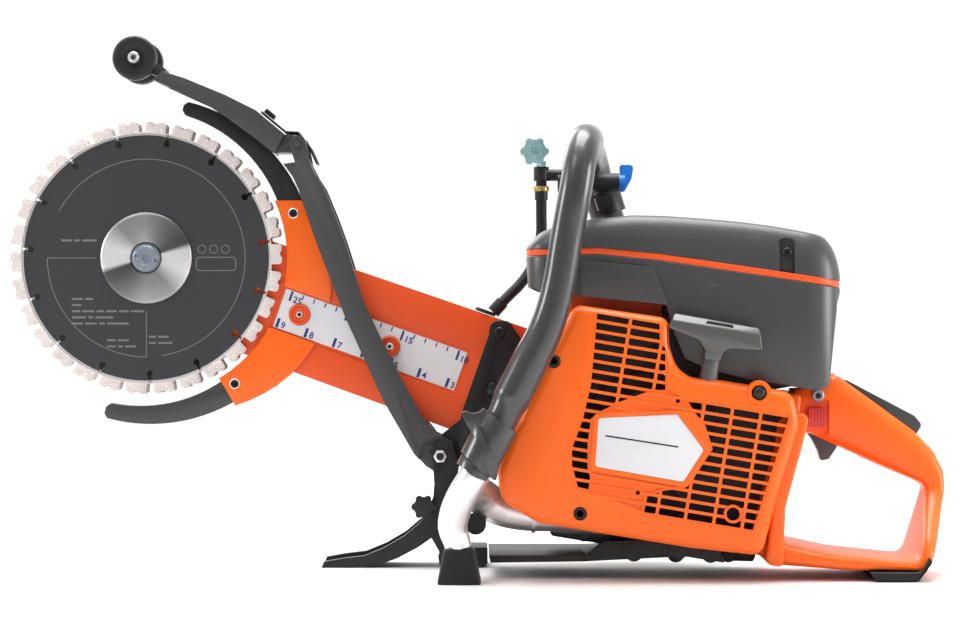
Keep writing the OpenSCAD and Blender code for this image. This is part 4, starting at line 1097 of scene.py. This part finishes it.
pivot = {"place": (-26, 94), "nearFace": 28.65}
core = turnedPart("pivot_core", [(0, 0), (3.3, 0), (3.3, 0.5), (2.2, 0.8), (0, 0.8)],
    (pivot["place"][0], pivot["nearFace"], pivot["place"][1]), (0, -1, 0), 32)
finishPiece(core, "black_plastic")
plug = turnedPart("bracket_plug", [(0, -4), (6.9, -4), (6.9, 1.2), (5.9, 1.8), (0, 1.8)], (20, 46, 150),
    (0, -1, 0), 40)
for k in range(5):
    turn = 2 * math.pi * k / 5
    drilled(plug, 1.6, 0, 5, (20 + 7.2 * math.sin(turn), 47, 150 + 7.2 * math.cos(turn)), (0, -1, 0), 20)
finishPiece(plug, "black_plastic")
strap = refinedCopy("hinge_strap", 0.8, 2)
shapeWith(strap, "TRIANGULATE")
applyPlace(strap)
bpy.ops.object.shade_smooth_by_angle(angle=math.radians(35))
strap.data.materials.clear()
strap.data.materials.append(finishes["black_rubber"])
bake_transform(strap)
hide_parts("hinge_strap")
bulb = turnedPart("primer_bulb_piece", [(0, 0), (5.7, 0), (5.7, 3.2), (5.3, 4.8), (4.2, 6.3), (2.4, 7.2),
    (0, 7.5)], (229, -93, 152), (0, -1, 0), 40)
finishPiece(bulb, "black_plastic", "primer", ["primer_bulb"])
axleEnds = []
for face, outward in ((34, -1), (90, 1)):
    axleEnds.append(turnedPart("axle_end", [(1.9, -6), (4.6, -6), (4.6, 1.6), (4.0, 2.4), (2.5, 2.4),
        (1.9, 1.4)], (-283, face + 5 * outward, 429), (0, outward, 0), 40))
finishPiece(joined("roller_axle_ends", axleEnds), "cast_alloy", "guide_upper")
rollers = []
for face, outward in ((33, -1), (91, 1)):
    profile = [(4.05, -11.9), (15.6, -11.9), (18.0, -11.2), (18.6, -9.8), (18.6, -2.2), (17.8, -0.8),
        (16.6, -0.2), (14.5, 0), (8.0, -0.5), (6.2, -1.4), (4.05, -1.4)]
    rollers.append(turnedPart("roller", profile, (-283, face, 429), (0, outward, 0), 72))
finishPiece(joined("guide_rollers_piece", rollers), "black_plastic", "rollers", ["guide_rollers"])

hosePath = [(60, 78, 312), (60, 78, 298), (60, 78, 284), (57, 77, 264), (50, 74, 250), (41, 69, 238),
    (33, 65, 230), (26, 61.5, 223)]
hose = tubeThrough("water_hose_piece", hosePath, 4.6, 6, 8)
finishPiece(hose, "black_rubber", "frame", ["water_hose"], 50)
ferrule = turnedPart("hose_ferrule", [(4.7, 0), (6.3, 0), (6.5, 0.8), (6.5, 3.4), (6.2, 4.2), (4.7, 4.2)],
    (60, 78, 318.5), (0, 0, 1), 40)
finishPiece(ferrule, "brass")
print("small parts made")

# Stage and light

stage = {"deep": (-4.0, 1.6), "wide": 9}
bpy.ops.mesh.primitive_plane_add(size=1, location=(0, sum(stage["deep"]) / 2, 0))
floor = bpy.context.object
floor.name = "floor"
floor.scale = (stage["wide"], stage["deep"][1] - stage["deep"][0], 1)
applyPlace(floor)
pale = Finish("pale_floor", Roughness=0.6)
pale.feed("Base Color", pale.blend(pale.noise(3, 2), colour(0.74, 0.74, 0.74), colour(0.77, 0.77, 0.77)))
floor.data.materials.append(pale.material)
floor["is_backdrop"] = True

# each lamp's place, width and power
lights = {
    "key": ((-1.5, -1.7, 2.3), 1.2, 17),
    "fill": ((1.9, -1.9, 1.2), 1.4, 4),
    "top": ((0.1, 0.25, 2.4), 1.8, 92),
    "back": ((-1.2, 2.0, 1.5), 1.6, 26),
    "left": ((-2.4, -0.25, 0.9), 0.6, 20),
    "right": ((2.5, -0.45, 0.5), 0.9, 30)}
for name, (place, size, power) in lights.items():
    bpy.ops.object.light_add(type="AREA", location=place)
    lamp = bpy.context.object
    lamp.name = name
    lamp.data.size = size
    lamp.data.energy = power
    lamp.rotation_mode = "QUATERNION"
    lamp.rotation_quaternion = (Vector((0, 0, 0.2)) - Vector(place)).to_track_quat("-Z", "Y")

# a white room behind and above the saw, and a darker one on the camera's side
room = {"front": 0.30, "behind": 1.06}
world = bpy.data.worlds.new("studio")
bpy.context.scene.world = world
world.use_nodes = True
nodes, links = world.node_tree.nodes, world.node_tree.links
direction = nodes.new("ShaderNodeTexCoord")
split = nodes.new("ShaderNodeSeparateXYZ")
back = nodes.new("ShaderNodeMapRange")
up = nodes.new("ShaderNodeMapRange")
most = nodes.new("ShaderNodeMath")
level = nodes.new("ShaderNodeMapRange")
links.new(direction.outputs["Generated"], split.inputs[0])
for piece, axis, low, high in ((back, "Y", -0.15, 0.35), (up, "Z", 0.35, 0.9)):
    piece.inputs["From Min"].default_value = low
    piece.inputs["From Max"].default_value = high
    links.new(split.outputs[axis], piece.inputs["Value"])
most.operation = "MAXIMUM"
links.new(back.outputs[0], most.inputs[0])
links.new(up.outputs[0], most.inputs[1])
level.inputs["To Min"].default_value = room["front"]
level.inputs["To Max"].default_value = room["behind"]
links.new(most.outputs[0], level.inputs["Value"])
links.new(level.outputs[0], nodes["Background"].inputs["Strength"])
nodes["Background"].inputs["Color"].default_value = (1, 1, 1, 1)
bpy.context.scene.view_settings.view_transform = "Standard"

[[list(corner) for corner in box] for box in (cadBox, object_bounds())]
